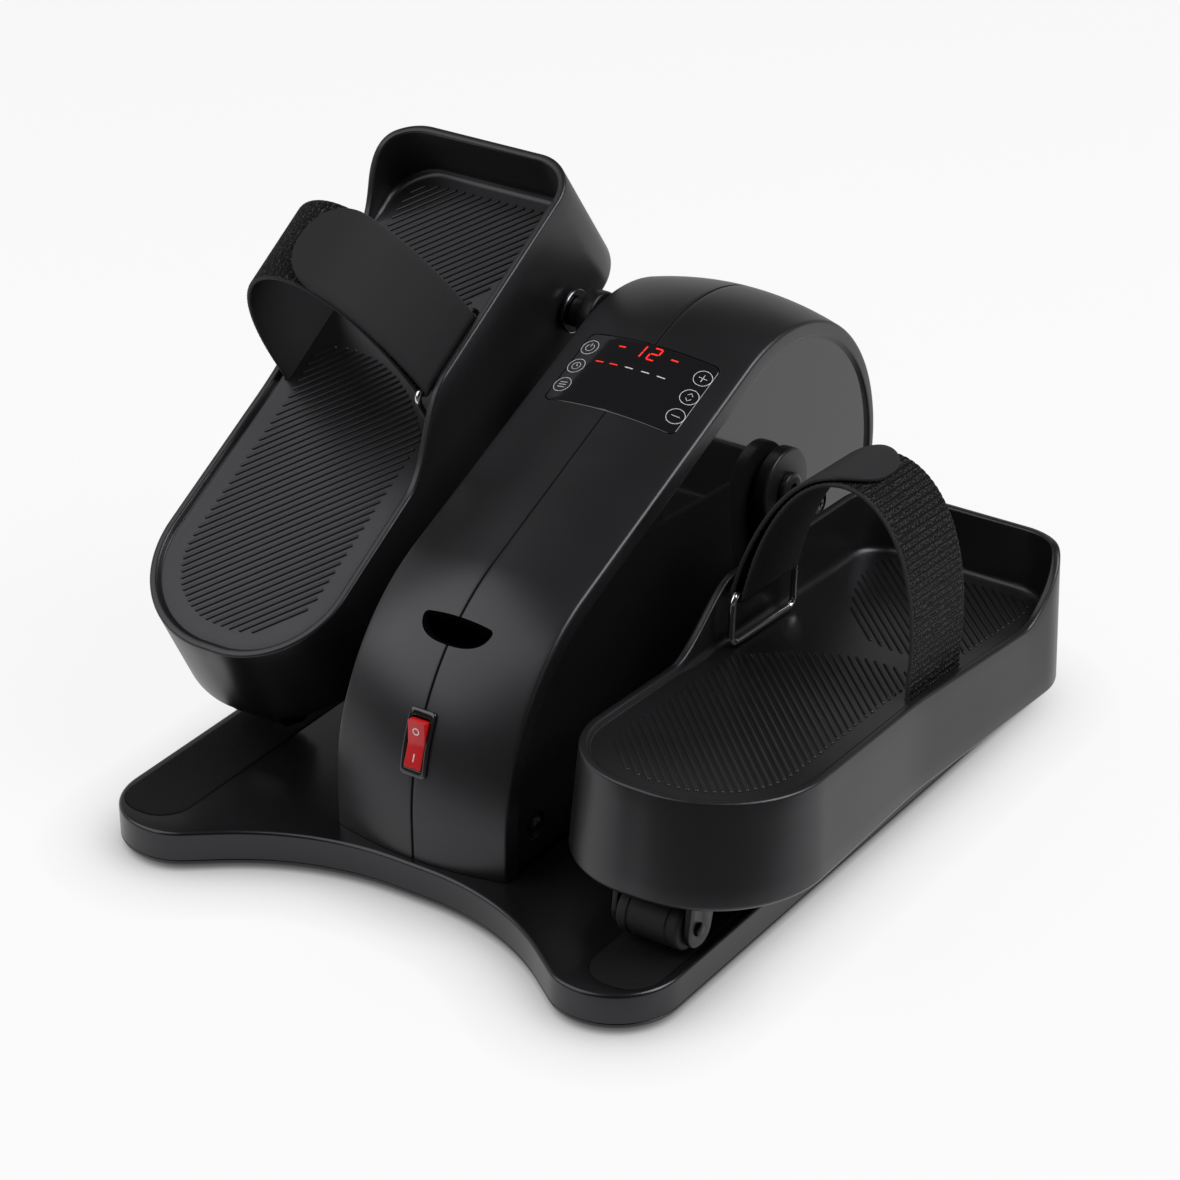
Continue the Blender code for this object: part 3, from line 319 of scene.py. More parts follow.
def evenly(outline, count):
    """The closed outline again, with this many points at equal steps along it."""
    loop = np.vstack([outline, outline[:1]])
    run = run_along(loop)
    at = np.linspace(0, run[-1], count, endpoint=False)
    return np.column_stack([np.interp(at, run, loop[:, 0]), np.interp(at, run, loop[:, 1])])


def grown(outline, by):
    """The closed outline moved outwards along its normals by one distance, or by one for each point."""
    ahead = np.roll(outline, -1, axis=0) - np.roll(outline, 1, axis=0)
    normal = np.column_stack([ahead[:, 1], -ahead[:, 0]])
    normal /= np.linalg.norm(normal, axis=1, keepdims=True)
    x, y = outline.T
    area = np.sum(x * np.roll(y, -1) - np.roll(x, -1) * y)
    return outline + normal * (np.broadcast_to(by, len(outline)) * math.copysign(1.0, area))[:, None]


def arm_outline(reach):
    """Outline of a crank arm as (y, z): two circles, reach apart along z, and their common tangents."""
    base = math.copysign(math.pi / 2, reach)
    lean = math.acos((HUB_RADIUS - EYE_RADIUS) / abs(reach))
    hub = arc((0, 0), HUB_RADIUS, base + lean, base + 2 * math.pi - lean, 70)
    eye = arc((0, reach), EYE_RADIUS, base - lean, base + lean, 40)
    return np.vstack([hub, eye])


def inside(outline, x, y):
    """Whether points lie in a closed outline: a ray towards +x crosses it an odd number of times."""
    a, b = outline, np.roll(outline, -1, axis=0)
    rise = np.where(a[:, 1] == b[:, 1], 1.0, b[:, 1] - a[:, 1])
    crosses = (a[:, 1] > y[..., None]) != (b[:, 1] > y[..., None])
    at = a[:, 0] + (y[..., None] - a[:, 1]) * (b[:, 0] - a[:, 0]) / rise
    return (crosses & (x[..., None] < at)).sum(axis=-1) % 2 == 1


def smooth_step(value):
    value = np.clip(value, 0, 1)
    return value * value * (3 - 2 * value)


# Skins: an array of points, an array of quads and the end caps


def grid(rows, columns, wrap_rows=False, wrap_columns=True):
    """Quads between neighbours of a grid of points, joined round either way where asked."""
    index = np.arange(rows * columns).reshape(rows, columns)
    if wrap_rows:
        index = np.vstack([index, index[:1]])
    if wrap_columns:
        index = np.hstack([index, index[:, :1]])
    return np.stack([index[:-1, :-1], index[:-1, 1:], index[1:, 1:], index[1:, :-1]], axis=-1).reshape(-1, 4)


def across(outline, x):
    """A ring at x from an outline of (y, z)."""
    return np.column_stack([np.broadcast_to(x, len(outline)), outline])


def level(outline, z):
    """A ring from an outline of (x, y), at one height or at a height for each point."""
    return np.column_stack([outline, np.broadcast_to(z, len(outline))])


def loft(rings, closed=False, place=None):
    """A skin over equal rings, with caps on its ends or joined end to end, moved by place if one is given."""
    rings = np.asarray(rings, float)
    count, size = rings.shape[:2]
    caps = [] if closed else [np.arange(size)[::-1], np.arange((count - 1) * size, count * size)]
    points = rings.reshape(-1, 3)
    return points if place is None else place(points), grid(count, size, closed), caps


def joined(skins):
    """Several skins as one: the points one after another, and the faces' indices moved along with them."""
    counts = np.cumsum([0] + [len(points) for points, _, _ in skins])
    points = np.concatenate([points for points, _, _ in skins])
    quads = np.concatenate([quads + start for (_, quads, _), start in zip(skins, counts)])
    return points, quads, [cap + start for (_, _, caps), start in zip(skins, counts) for cap in caps]


def turned(profile, bore=0.0, place=None, count=ROUND):
    """A skin turned about the X axis from (x, radius) pairs: each pair is a circle. A bore joins its ends."""
    stations = list(profile)
    if bore:
        stations += [(profile[-1][0], bore), (profile[0][0], bore)]
    return loft([across(circle((0, 0), r, count), x) for x, r in stations], bool(bore), place)


def shifted(x, y, z):
    return lambda points: points + np.array([x, y, z])


def crank_place(points):
    return points + np.array([0, AXLE_Y, AXLE_Z])


def about_x(angle):
    """Matrix of a turn about the X axis."""
    cosine, sine = math.cos(angle), math.sin(angle)
    return np.array([[1, 0, 0], [0, cosine, -sine], [0, sine, cosine]])


def pedal_place(side):
    """Turns points of a foot plate's frame, drawn for the right foot, into world points of one side."""
    turn = about_x(PEDAL_TILT[side]) @ np.diag([SIDES[side], 1, 1])
    return lambda points: points @ turn.T + np.array([0, AXLE_Y, PIN_Z[side]])


def closed_mesh(name, points, quads, caps):
    """A mesh from a skin, with its faces turned outwards where the volume they enclose comes out negative."""
    fans = [np.column_stack([np.full(len(cap) - 2, cap[0]), cap[1:-1], cap[2:]]) for cap in caps]
    thirds = np.concatenate([quads[:, [0, 1, 2]], quads[:, [0, 2, 3]], *fans])
    a, b, c = (points[thirds[:, i]] for i in range(3))
    if np.sum(a * np.cross(b, c)) < 0:
        quads, caps = quads[:, ::-1], [cap[::-1] for cap in caps]
    corners = np.concatenate([quads.ravel(), *caps]).astype(np.int32)
    sizes = np.array([4] * len(quads) + [len(cap) for cap in caps])
    starts = (np.cumsum(sizes) - sizes).astype(np.int32)
    mesh = bpy.data.meshes.new(name)
    mesh.vertices.add(len(points))
    mesh.vertices.foreach_set("co", points.astype(np.float32).ravel())
    mesh.loops.add(len(corners))
    mesh.loops.foreach_set("vertex_index", corners)
    mesh.polygons.add(len(starts))
    mesh.polygons.foreach_set("loop_start", starts)
    mesh.update(calc_edges=True)
    if mesh.validate():
        raise RuntimeError(f"{name}: the skin has faces that can't be")
    return mesh


def bake(made):
    """Puts what the modifiers make into the object's own mesh."""
    graph = bpy.context.evaluated_depsgraph_get()
    mesh = bpy.data.meshes.new_from_object(made.evaluated_get(graph), depsgraph=graph)
    drawn = made.data
    made.modifiers.clear()
    made.data = mesh
    bpy.data.meshes.remove(drawn)
    if not mesh.polygons:
        raise RuntimeError(f"{made.name}: nothing is left of it")


def add_piece(name, skin, body, finish, nodes=(), cuts=(), bevel=0.0, sharp=40.0):
    """One piece: a skin less its cuts, with bevelled edges, on a body and in place of CAD nodes."""
    made = bpy.data.objects.new(name, closed_mesh(name, *skin))
    bpy.context.scene.collection.objects.link(made)
    cutters = []
    for i, cut in enumerate(cuts):
        cutter = bpy.data.objects.new(f"{name}_cut_{i}", closed_mesh(f"{name}_cut_{i}", *cut))
        bpy.context.scene.collection.objects.link(cutter)
        change = made.modifiers.new(cutter.name, "BOOLEAN")
        change.operation = "DIFFERENCE"
        change.solver = "EXACT"
        change.object = cutter
        cutters.append(cutter)
    if bevel:
        edge = made.modifiers.new("edge", "BEVEL")
        edge.width = bevel
        edge.segments = 3
        edge.limit_method = "ANGLE"
        edge.angle_limit = math.radians(sharp)
    if made.modifiers:
        bake(made)
    for cutter in cutters:
        mesh = cutter.data
        bpy.data.objects.remove(cutter)
        bpy.data.meshes.remove(mesh)
    made.data.materials.clear()
    made.data.materials.append(finish)
    made.data.shade_smooth()
    made.data.set_sharp_from_angle(angle=math.radians(sharp))
    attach(made, body)
    if nodes:
        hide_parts(*nodes)
    return made


# Finishes

FINISH_END = "_finish"
SHEEN = (0.96, 0.94, 1.0, 1.0)  # tint of the light that plain surfaces throw back
BROAD_SCALE = 18.0  # how fine the slow change of shade over a surface is
PRINT_WHITE = (0.62, 0.64, 0.66)
SWITCH_WHITE = (0.75, 0.72, 0.68)
WASHER_GREY = (0.16, 0.16, 0.17)
LIT_STRENGTH = (0.55, 0.85)
STRAP_SHADES = (0.12, 3.6, 1.7, 2.4)  # of the strap's colour: ground, threads, smooth side and edges
SELVEDGE = (0.0013, 0.0007)  # the pale edge begins and ends this far from the side
FINISH_SLOT = {
    "base_plastic": "charcoal_plastic",
    "fairing_plastic": "charcoal_plastic",
    "side_gloss": "charcoal_plastic",
    "recess_black": "charcoal_plastic",
    "washer_steel": "black_steel",
    "white_print": "gloss_panel",
    "lit_red": "gloss_panel",
    "switch_print": "red_rocker",
}


def node(tree, kind, **values):
    """A shader node with these values in its sockets. Underscores in a key stand for spaces in its name."""
    made = tree.nodes.new(kind)
    for key, value in values.items():
        made.inputs[key.replace("_", " ")].default_value = value
    return made


def maths(tree, operation, *values):
    """The result of an operation on one or two outputs."""
    made = tree.nodes.new("ShaderNodeMath")
    made.operation = operation
    for value, socket in zip(values, made.inputs):
        tree.links.new(value, socket)
    return made.outputs["Value"]


def ramp(tree, value, easy=False, **ends):
    """An output carried from one range to another, in a straight line or an easy curve."""
    made = node(tree, "ShaderNodeMapRange", **ends)
    if easy:
        made.interpolation_type = "SMOOTHSTEP"
    tree.links.new(value, made.inputs["Value"])
    return made.outputs["Result"]


def mixed(tree, share, first, second, kind="RGBA"):
    """Between two ends by a share. An end is an output, or else a number or a colour."""
    made = tree.nodes.new("ShaderNodeMix")
    made.data_type = kind
    tree.links.new(share, made.inputs["Factor"])
    for key, end in (("A", first), ("B", second)):
        if isinstance(end, bpy.types.NodeSocket):
            tree.links.new(end, made.inputs[key])
        else:
            made.inputs[key].default_value = end
    return made.outputs["Result"]


def along_axis(tree, coordinates, axis):
    """Distance along an axis, from one of the coordinate sets."""
    product = tree.nodes.new("ShaderNodeVectorMath")
    product.operation = "DOT_PRODUCT"
    tree.links.new(tree.nodes.new("ShaderNodeTexCoord").outputs[coordinates], product.inputs[0])
    product.inputs[1].default_value = axis
    return product.outputs["Value"]


def ready(name):
    """The finish of this name, if it has been made. The frame's own materials have the plain names."""
    return bpy.data.materials.get(name + FINISH_END)


def slot_of(finish):
    name = finish.name.removesuffix(FINISH_END)
    return FINISH_SLOT.get(name, name)


def new_finish(name):
    made = bpy.data.materials.new(name + FINISH_END)
    made.use_nodes = True
    return made, made.node_tree, made.node_tree.nodes["Principled BSDF"]


def shade(colour, times):
    return (*np.minimum(np.array(colour) * times, 1), 1)


def half_dark(slot):
    return np.array(SLOT_COLOUR[slot]) * 0.5


def shades(tree, shader, share, colour, spread):
    """Base colour between a darker and a lighter shade of one colour, by a share from 0 to 1."""
    both = mixed(tree, share, shade(colour, 1 - spread), shade(colour, 1 + spread))
    tree.links.new(both, shader.inputs["Base Color"])


def grained(name, colour, roughness, pitch, depth, spread=0.15, metallic=0.0, coat=0.0, shine=0.5):
    """Moulded or painted finish: fine noise raises a grain, and broad noise shifts the shade and the gloss."""
    made = ready(name)
    if made:
        return made
    made, tree, shader = new_finish(name)
    place = tree.nodes.new("ShaderNodeTexCoord").outputs["Object"]
    fine = node(tree, "ShaderNodeTexNoise", Scale=1 / pitch, Detail=2.0, Roughness=0.5)
    broad = node(tree, "ShaderNodeTexNoise", Scale=BROAD_SCALE, Detail=4.0, Roughness=0.55)
    for noise in (fine, broad):
        tree.links.new(place, noise.inputs["Vector"])
    patches = broad.outputs["Fac"]
    shades(tree, shader, patches, colour, spread)
    ends = {"To_Min": roughness * 0.9, "To_Max": min(roughness * 1.1, 1.0)}
    tree.links.new(ramp(tree, patches, From_Min=0.3, From_Max=0.7, **ends), shader.inputs["Roughness"])
    bump = node(tree, "ShaderNodeBump", Strength=0.6, Distance=depth)
    tree.links.new(fine.outputs["Fac"], bump.inputs["Height"])
    tree.links.new(bump.outputs["Normal"], shader.inputs["Normal"])
    shader.inputs["Metallic"].default_value = metallic
    shader.inputs["Specular IOR Level"].default_value = shine
    shader.inputs["Coat Weight"].default_value = coat
    shader.inputs["Specular Tint"].default_value = SHEEN
    return made


def plastic():
    return grained("charcoal_plastic", look().plastic, 0.34, 0.0009, 0.000008)


def fairing_plastic():
    """Moulded plastic, with painted shade in the halves' joint: dull and dark by the distance from the middle
    plane.
    """
    made = ready("fairing_plastic")
    if made:
        return made
    made = plastic().copy()
    made.name = "fairing_plastic" + FINISH_END
    tree = made.node_tree
    shader = tree.nodes["Principled BSDF"]
    aside = maths(tree, "ABSOLUTE", along_axis(tree, "Object", (1.0, 0.0, 0.0)))
    # painted shade: the groove between the halves is made black and fully rough, for the shadow in it
    joint = ramp(tree, aside, From_Min=SEAM_SHADE_HALF, From_Max=2 * SEAM_SHADE_HALF, To_Min=1.0, To_Max=0.0)
    for name, kind, end in (("Roughness", "FLOAT", 1.0), ("Base Color", "RGBA", (0, 0, 0, 1))):
        socket = shader.inputs[name]
        tree.links.new(mixed(tree, joint, socket.links[0].from_socket, end, kind), socket)
    return made


def base_plastic():
    return grained("base_plastic", look().plastic, 0.24, 0.0009, 0.000006)


def side_gloss():
    return grained("side_gloss", look().plastic, 0.06, 0.0020, 0.0000005)


# painted shade: the inside of the hand recess gets a tenth of the plastic's colour and almost no gloss, for the
# shadow deep in it
def recess_black():
    return grained("recess_black", np.array(look().plastic) * 0.1, 0.90, 0.0009, 0.00003, shine=0.03)


def track_rubber():
    return grained("track_rubber", half_dark("track_rubber"), 0.80, 0.0010, 0.0007, 0.6, shine=0.12)


def rubber():
    return grained("black_rubber", half_dark("black_rubber"), 0.65, 0.0008, 0.00005, 0.3)


def black_steel():
    return grained("black_steel", half_dark("black_steel"), 0.34, 0.0007, 0.00001, 0.2, shine=0.25)


def washer_steel():
    return grained("washer_steel", WASHER_GREY, 0.22, 0.0007, 0.00001, 0.2, 1.0)


def zinc_steel():
    return grained("zinc_steel", SLOT_COLOUR["zinc_steel"], 0.30, 0.0006, 0.00002, 0.12, 1.0)


def chrome():
    return grained("chrome_wire", SLOT_COLOUR["chrome_wire"], 0.10, 0.002, 0.00001, 0.05, 1.0)


def panel_gloss():
    return grained("gloss_panel", SLOT_COLOUR["gloss_panel"], 0.10, 0.004, 0.000004, 0.2, 0.0, 0.5)


def white_print():
    return grained("white_print", PRINT_WHITE, 0.45, 0.0004, 0.00001, 0.06)


def switch_print():
    return grained("switch_print", SWITCH_WHITE, 0.40, 0.0004, 0.00001, 0.06)


def rocker_red():
    return grained("red_rocker", look().rocker, 0.28, 0.001, 0.00001, 0.12)


def circuit_board():
    """Solder-masked board: rows of pale pads by a brick pattern on a green ground."""
    made = ready("circuit_board")
    if made:
        return made
    made, tree, shader = new_finish("circuit_board")
    pads = node(tree, "ShaderNodeTexBrick", Scale=180.0, Mortar_Size=0.08)
    for socket, times in (("Color1", 1.0), ("Color2", 1.5), ("Mortar", 0.5)):
        pads.inputs[socket].default_value = shade(SLOT_COLOUR["circuit_board"], times)
    tree.links.new(tree.nodes.new("ShaderNodeTexCoord").outputs["Object"], pads.inputs["Vector"])
    tree.links.new(pads.outputs["Color"], shader.inputs["Base Color"])
    shader.inputs["Roughness"].default_value = 0.45
    return made


def lit_red():
    """Lit segments behind the panel: red light, a little uneven along each segment."""
    made = ready("lit_red")
    if made:
        return made
    made, tree, shader = new_finish("lit_red")
    noise = node(tree, "ShaderNodeTexNoise", Scale=900.0, Detail=1.0)
    tree.links.new(tree.nodes.new("ShaderNodeTexCoord").outputs["Object"], noise.inputs["Vector"])
    shades(tree, shader, noise.outputs["Fac"], look().lit, 0.1)
    low, high = LIT_STRENGTH
    glow = ramp(tree, noise.outputs["Fac"], To_Min=low, To_Max=high)
    tree.links.new(glow, shader.inputs["Emission Strength"])
    shader.inputs["Emission Color"].default_value = (*look().lit, 1)
    shader.inputs["Roughness"].default_value = 0.3
    return made


def webbing():
    """Woven band: on its upper side pale threads in the dark, by noise on the distances along and across it,
    and a dark line between the rows. Its other side is smooth, and its edges are a little paler."""
    made = ready("strap_webbing")
    if made:
        return made
    made, tree, shader = new_finish("strap_webbing")
    fields = {}
    for name in ("along", "across", "upper"):
        field = tree.nodes.new("ShaderNodeAttribute")
        field.attribute_name = name
        fields[name] = field.outputs["Fac"]
    flat = tree.nodes.new("ShaderNodeCombineXYZ")
    tree.links.new(fields["across"], flat.inputs["X"])
    tree.links.new(fields["along"], flat.inputs["Y"])
    threads = node(tree, "ShaderNodeTexNoise", Scale=1 / THREAD_SIZE, Detail=2.0, Roughness=0.7)
    rows = node(tree, "ShaderNodeTexWave", Scale=math.pi / 10 / look().weave_pitch, Distortion=0.8)
    rows.bands_direction = "Y"
    for pattern in (threads, rows):
        tree.links.new(flat.outputs["Vector"], pattern.inputs["Vector"])
    pale = ramp(tree, threads.outputs["Fac"], From_Min=0.48, From_Max=0.57)
    line = ramp(tree, rows.outputs["Fac"], From_Min=0.08, From_Max=0.36)
    weave = maths(tree, "MULTIPLY", pale, line)
    ground, thread, smooth, hem = (shade(look().webbing, times) for times in STRAP_SHADES)
    face = mixed(tree, fields["upper"], smooth, mixed(tree, weave, ground, thread))
    begin, end = (STRAP_WIDTH / 2 - inset for inset in SELVEDGE)
    border = ramp(tree, maths(tree, "ABSOLUTE", fields["across"]), From_Min=begin, From_Max=end)
    tree.links.new(mixed(tree, border, face, hem), shader.inputs["Base Color"])
    bump = node(tree, "ShaderNodeBump", Distance=0.0004)
    tree.links.new(ramp(tree, fields["upper"], To_Min=0.12), bump.inputs["Strength"])
    tree.links.new(weave, bump.inputs["Height"])
    tree.links.new(bump.outputs["Normal"], shader.inputs["Normal"])
    shader.inputs["Roughness"].default_value = 0.62
    shader.inputs["Specular IOR Level"].default_value = 0.1
    return made


# Base plate, tracks and feet

STRIP_EDGE = 0.0006
PAD_STEPS = (  # (outwards, height) from the dished underside of a pad up to the base
    (-0.0050, 0.0008),
    (-0.0035, 0.0),
    (-0.0010, 0.0),
    (-0.0003, 0.0003),
    (0, 0.0010),
    (0, BASE_BOTTOM - GAP),
)


def base_outline():
    """Base outline as (x, y): a lobe in front and behind each track, with a sweep between the lobes."""
    x, y = BASE_WIDTH / 2, BASE_LENGTH / 2
    lobe = x - LOBE_WIDTH
    corners = []
    for end, depth in WAVE_DEPTHS:
        corners += [
            (end * x, end * y, BASE_CORNER_RADIUS),
            (end * lobe, end * y, LOBE_RADIUS),
            (end * WAVE_HALF_WIDTH, end * (y - depth), WAVE_RADIUS),
            (-end * WAVE_HALF_WIDTH, end * (y - depth), WAVE_RADIUS),
            (-end * lobe, end * y, LOBE_RADIUS),
            (-end * x, end * y, BASE_CORNER_RADIUS),
        ]
    return evenly(rounded(corners, 40), 480)


def quarter(steps):
    """How far a rounded edge stands back and down, as (1 - cos, 1 - sin) at even steps of a quarter turn."""
    turn = np.linspace(0, math.pi / 2, steps)
    return np.column_stack([1 - np.cos(turn), 1 - np.sin(turn)])


def edge_rings(outline, top, radius, steps=8):
    """Rings of a rounded upper edge: a quarter circle carried round the outline."""
    return [level(grown(outline, -radius * back), top - radius * down) for back, down in quarter(steps)]


def track_outline(sign):
    middle = BASE_WIDTH / 2 - TRACK_MARGIN - TRACK_WIDTH / 2
    half_length = BASE_LENGTH / 2 - TRACK_END_MARGIN
    return rounded_box(TRACK_WIDTH / 2, half_length, TRACK_END_RADIUS, (sign * middle, 0), 16)


def build_base():
    """Base plate: its outline carried up the side and over a rounded edge, less two pockets for the strips.
    The strips and the pads are outlines carried up in the same way."""
    outline = base_outline()
    edge = BASE_EDGE_RADIUS
    rings = [level(grown(outline, -by), BASE_BOTTOM + up) for by, up in BASE_FOOT]
    rings += edge_rings(outline, BASE_TOP, edge)
    pockets = []
    for side, sign in SIDES.items():
        strip = track_outline(sign)
        pockets.append(loft([level(strip, TRACK_FLOOR), level(strip, BASE_TOP + edge)]))
        inlay = grown(strip, -GAP)
        slab = [level(inlay, TRACK_FLOOR + GAP), *edge_rings(inlay, TRACK_TOP, STRIP_EDGE, 4)]
        add_piece(f"track_strip_{side}", loft(slab), "base", track_rubber(), [f"roller_track_{side}"])
        for end, along in (("front", -1), ("rear", 1)):
            spot = (sign * (BASE_WIDTH / 2 - FOOT_INSET), along * (BASE_LENGTH / 2 - FOOT_INSET))
            disc = circle(spot, FOOT_RADIUS)
            pad = loft([level(grown(disc, by), z) for by, z in PAD_STEPS])
            add_piece(f"floor_pad_{end}_{side}", pad, "base", rubber(), [f"rubber_foot_{end}_{side}"])
    add_piece("floor_plate", loft(rings), "base", base_plastic(), ["base_plate"], pockets)


# Fairing

SEAM_EDGE = 0.06  # the crown begins at this share of the half width
LIP_TURN = 1.1  # angle of the round under the rim's band
BAND_FOOT = ((1 / 3, -0.9), (0, -1.25))  # the step's foot, in fillets from the side face and the band's edge
ROOM_CROWN = 0.80  # the room inside follows the crown this far out
ROOM_STEP = 0.0015
SLOT_CORNER = 0.001
FACE_SLACK = 0.00001
FACE_FLAT = 0.9  # least share of x in the normal of a glossy face
SCREW_BEND = 1.2  # angle of a screw's dome
SCREW_FLAT = 0.55  # share of the radius that the dome closes in
SCREW_CROSS = ((0.0024, 0.0005), (0.0005, 0.0024))
CROSS_CORNER = 0.0002
SCREW_CUT = (0.35, 1.5)  # the cross runs between these shares of the head's height


def crown(x):
    return CROWN * (1 - (x / HALF_WIDTH) ** 2)


def top_slope():
    """Slope of the straight top of the fairing, the common tangent of the front arc and the drum."""
    run, rise = DRUM_Y - FRONT_Y - FRONT_RADIUS, DRUM_Z - FRONT_ARC_Z
    return math.atan2(rise, run) - math.asin((FRONT_RADIUS - DRUM_RADIUS) / math.hypot(run, rise))


def fairing(by, bottom, rear_by=None):
    """Side outline of the fairing as (y, z): front arc, straight top, drum and tucked rear, moved outwards by
    a distance that may change over the drum to another one at the rear."""
    lean = math.pi / 2 + top_slope()
    front = arc((FRONT_Y + FRONT_RADIUS, FRONT_ARC_Z), FRONT_RADIUS + by, math.pi, lean, 48)
    over_drum = np.linspace(by, by if rear_by is None else rear_by, 96)[:, None]
    drum = arc((DRUM_Y, DRUM_Z), DRUM_RADIUS + over_drum, lean, -REAR_TUCK, 96)
    straight = front[-1] + (drum[0] - front[-1]) * np.linspace(0, 1, 14)[1:-1, None]
    down = (drum[-1, 1] - bottom) * math.tan(REAR_TUCK)
    return np.vstack([[[FRONT_Y - by, bottom]], front, straight, drum, [[drum[-1, 0] - down, bottom]]])


def fairing_section():
    """Section of a half as (x, by): a groove at the seam, the crowned top and the rounded rim. Then the step
    from the rim's band to the side face, as (x, by) from the band's inner edge."""
    fillet, seam = look().rim_fillet, look().seam_depth
    slope = math.atan(2 * CROWN / HALF_WIDTH)
    start = HALF_WIDTH - fillet * (1 - math.sin(slope))
    inner, peak = GAP / 2, crown(0)
    groove = [(inner, peak - seam), (inner + seam / 2, peak - seam / 4), (inner + 2 * seam, peak)]
    x = np.linspace(SEAM_EDGE * HALF_WIDTH, start, 20)
    top = np.column_stack([x, crown(x)])
    centre = (HALF_WIDTH - fillet, crown(start) - fillet * math.cos(slope))
    edge = arc(centre, fillet, math.pi / 2 - slope, 0, 9)[1:]
    lip = arc((HALF_WIDTH - STEP_FILLET, STEP_FILLET), STEP_FILLET, 0, -LIP_TURN, 6)
    foot = [(SIDE_FACE_X + STEP_FILLET * x, STEP_FILLET * by) for x, by in BAND_FOOT]
    return np.vstack([groove, top, edge]), np.vstack([lip, foot])


def surface_frame(spot, angle):
    """Turns (x, along, out) into world points, at a spot of the fairing's outline with this normal angle."""
    out = np.array([0, math.cos(angle), math.sin(angle)])
    along = np.array([0, math.sin(angle), -math.cos(angle)])
    turn = np.array([[1, 0, 0], along, out])
    return lambda points: np.asarray(points, float) @ turn + np.array([0, *spot])


def panel_place():
    lean = math.pi / 2 + top_slope()
    touch = np.array([DRUM_Y, DRUM_Z]) + DRUM_RADIUS * np.array([math.cos(lean), math.sin(lean)])
    return surface_frame((PANEL_Y, touch[1] + (PANEL_Y - touch[0]) * math.tan(top_slope())), lean)


def front_place(angle):
    centre = np.array([FRONT_Y + FRONT_RADIUS, FRONT_ARC_Z])
    return surface_frame(centre + FRONT_RADIUS * np.array([math.cos(angle), math.sin(angle)]), angle)


def front_height(outline):
    """Height of the crowned front arc over a tangent frame's plane, at each (x, along) of an outline."""
    return np.sqrt((FRONT_RADIUS + crown(outline[:, 0])) ** 2 - outline[:, 1] ** 2) - FRONT_RADIUS


def inlet_place():
    y, z = DRUM_Y + DRUM_RADIUS * math.cos(REAR_TUCK), DRUM_Z - DRUM_RADIUS * math.sin(REAR_TUCK)
    drop = (z - BASE_TOP) / 2
    return surface_frame((y - drop * math.tan(REAR_TUCK), z - drop), -REAR_TUCK)


def cup_outline(by):
    """Half-moon with its flat side up: a low arch over half of a full ellipse. Each point is averaged with
    its neighbours along the outline, which rounds the two corners."""
    angle = np.linspace(math.pi, 2 * math.pi, 49)
    side, depth = np.cos(angle), -np.sin(angle)
    side = np.sign(side) * np.abs(side) ** CUP_FULLNESS
    top = CUP_HEIGHT / 2
    below = np.column_stack([CUP_HALF_WIDTH * side, top - CUP_HEIGHT * np.abs(depth) ** CUP_FULLNESS])
    back = np.linspace(1, -1, 33)[1:-1]
    above = np.column_stack([CUP_HALF_WIDTH * back, top + CUP_BOW * (1 - back**2)])
    outline = evenly(np.vstack([below, above]), 180)
    soft = sum(np.roll(outline, step, axis=0) for step in range(-CUP_SOFTNESS, CUP_SOFTNESS + 1))
    return grown(soft / (2 * CUP_SOFTNESS + 1), by)


def polygon_x(made, field):
    """The x of every face's middle or normal."""
    values = np.empty(len(made.data.polygons) * 3, np.float32)
    made.data.polygons.foreach_get(field, values)
    return values[::3]


def build_fairing():
    """Fairing halves: the side outline moved out by the section and carried across, less the room inside and
    the openings. The flat faces of the sides are glossy."""
    bottom, below = BASE_TOP + GAP, BASE_TOP - 4 * WALL
    hollow = [(x, crown(x) - WALL) for x in np.linspace(0.0, ROOM_CROWN, 6) * HALF_WIDTH]
    hollow[0] = (-WALL, hollow[0][1])
    hollow.append((SIDE_FACE_X - WALL, -RIM_BAND - ROOM_STEP - WALL))
    slot = ((SWITCH_WIDTH - SWITCH_RIM) / 2, (SWITCH_LENGTH - SWITCH_RIM) / 2)
    holes = [
        (panel_place(), rounded_box(PANEL_WIDTH / 2, PANEL_LENGTH / 2, PANEL_CORNER), 3 * WALL),
        (front_place(CUP_ANGLE), cup_outline(0), CUP_DEPTH),
        (front_place(SWITCH_ANGLE), rounded_box(*slot, SLOT_CORNER), SWITCH_BODY),
        (inlet_place(), rounded_box(INLET_WIDTH / 2, INLET_HEIGHT / 2, INLET_CORNER), INLET_DEPTH),
    ]
    openings = [
        loft([level(line, z) for z in (-depth, CROWN + WALL)], place=place) for place, line, depth in holes
    ]
    for side, sign in SIDES.items():
        top, step = fairing_section()
        rings = [across(fairing(by, bottom), sign * x) for x, by in top]
        rings += [across(fairing(by - RIM_BAND, bottom, by - REAR_RIM_BAND), sign * x) for x, by in step]
        room = loft([across(fairing(by, below), sign * x) for x, by in hollow])
        reach = [(sign * x, AXLE_HOLE_RADIUS) for x in (SIDE_FACE_X - CUT_PAST, HALF_WIDTH)]
        cuts = [room, *openings, turned(reach, place=crank_place)]
        if side == "right":
            floor = SIDE_FACE_X - WELL_DEPTH
            well = [(floor, WELL_RADIUS), (HALF_WIDTH, WELL_RADIUS)]
            cuts += [turned(well, place=shifted(0, *spot)) for spot in SIDE_SCREWS.values()]
        nodes = [f"housing_{side}"]
        half = add_piece(f"fairing_{side}", loft(rings), "base", fairing_plastic(), nodes, cuts, sharp=30)
        half.data.materials.append(side_gloss())
        gloss = np.abs(polygon_x(half, "center")) <= SIDE_FACE_X + FACE_SLACK
        gloss &= np.abs(polygon_x(half, "normal")) > FACE_FLAT
        half.data.polygons.foreach_set("material_index", gloss.astype(np.int32))


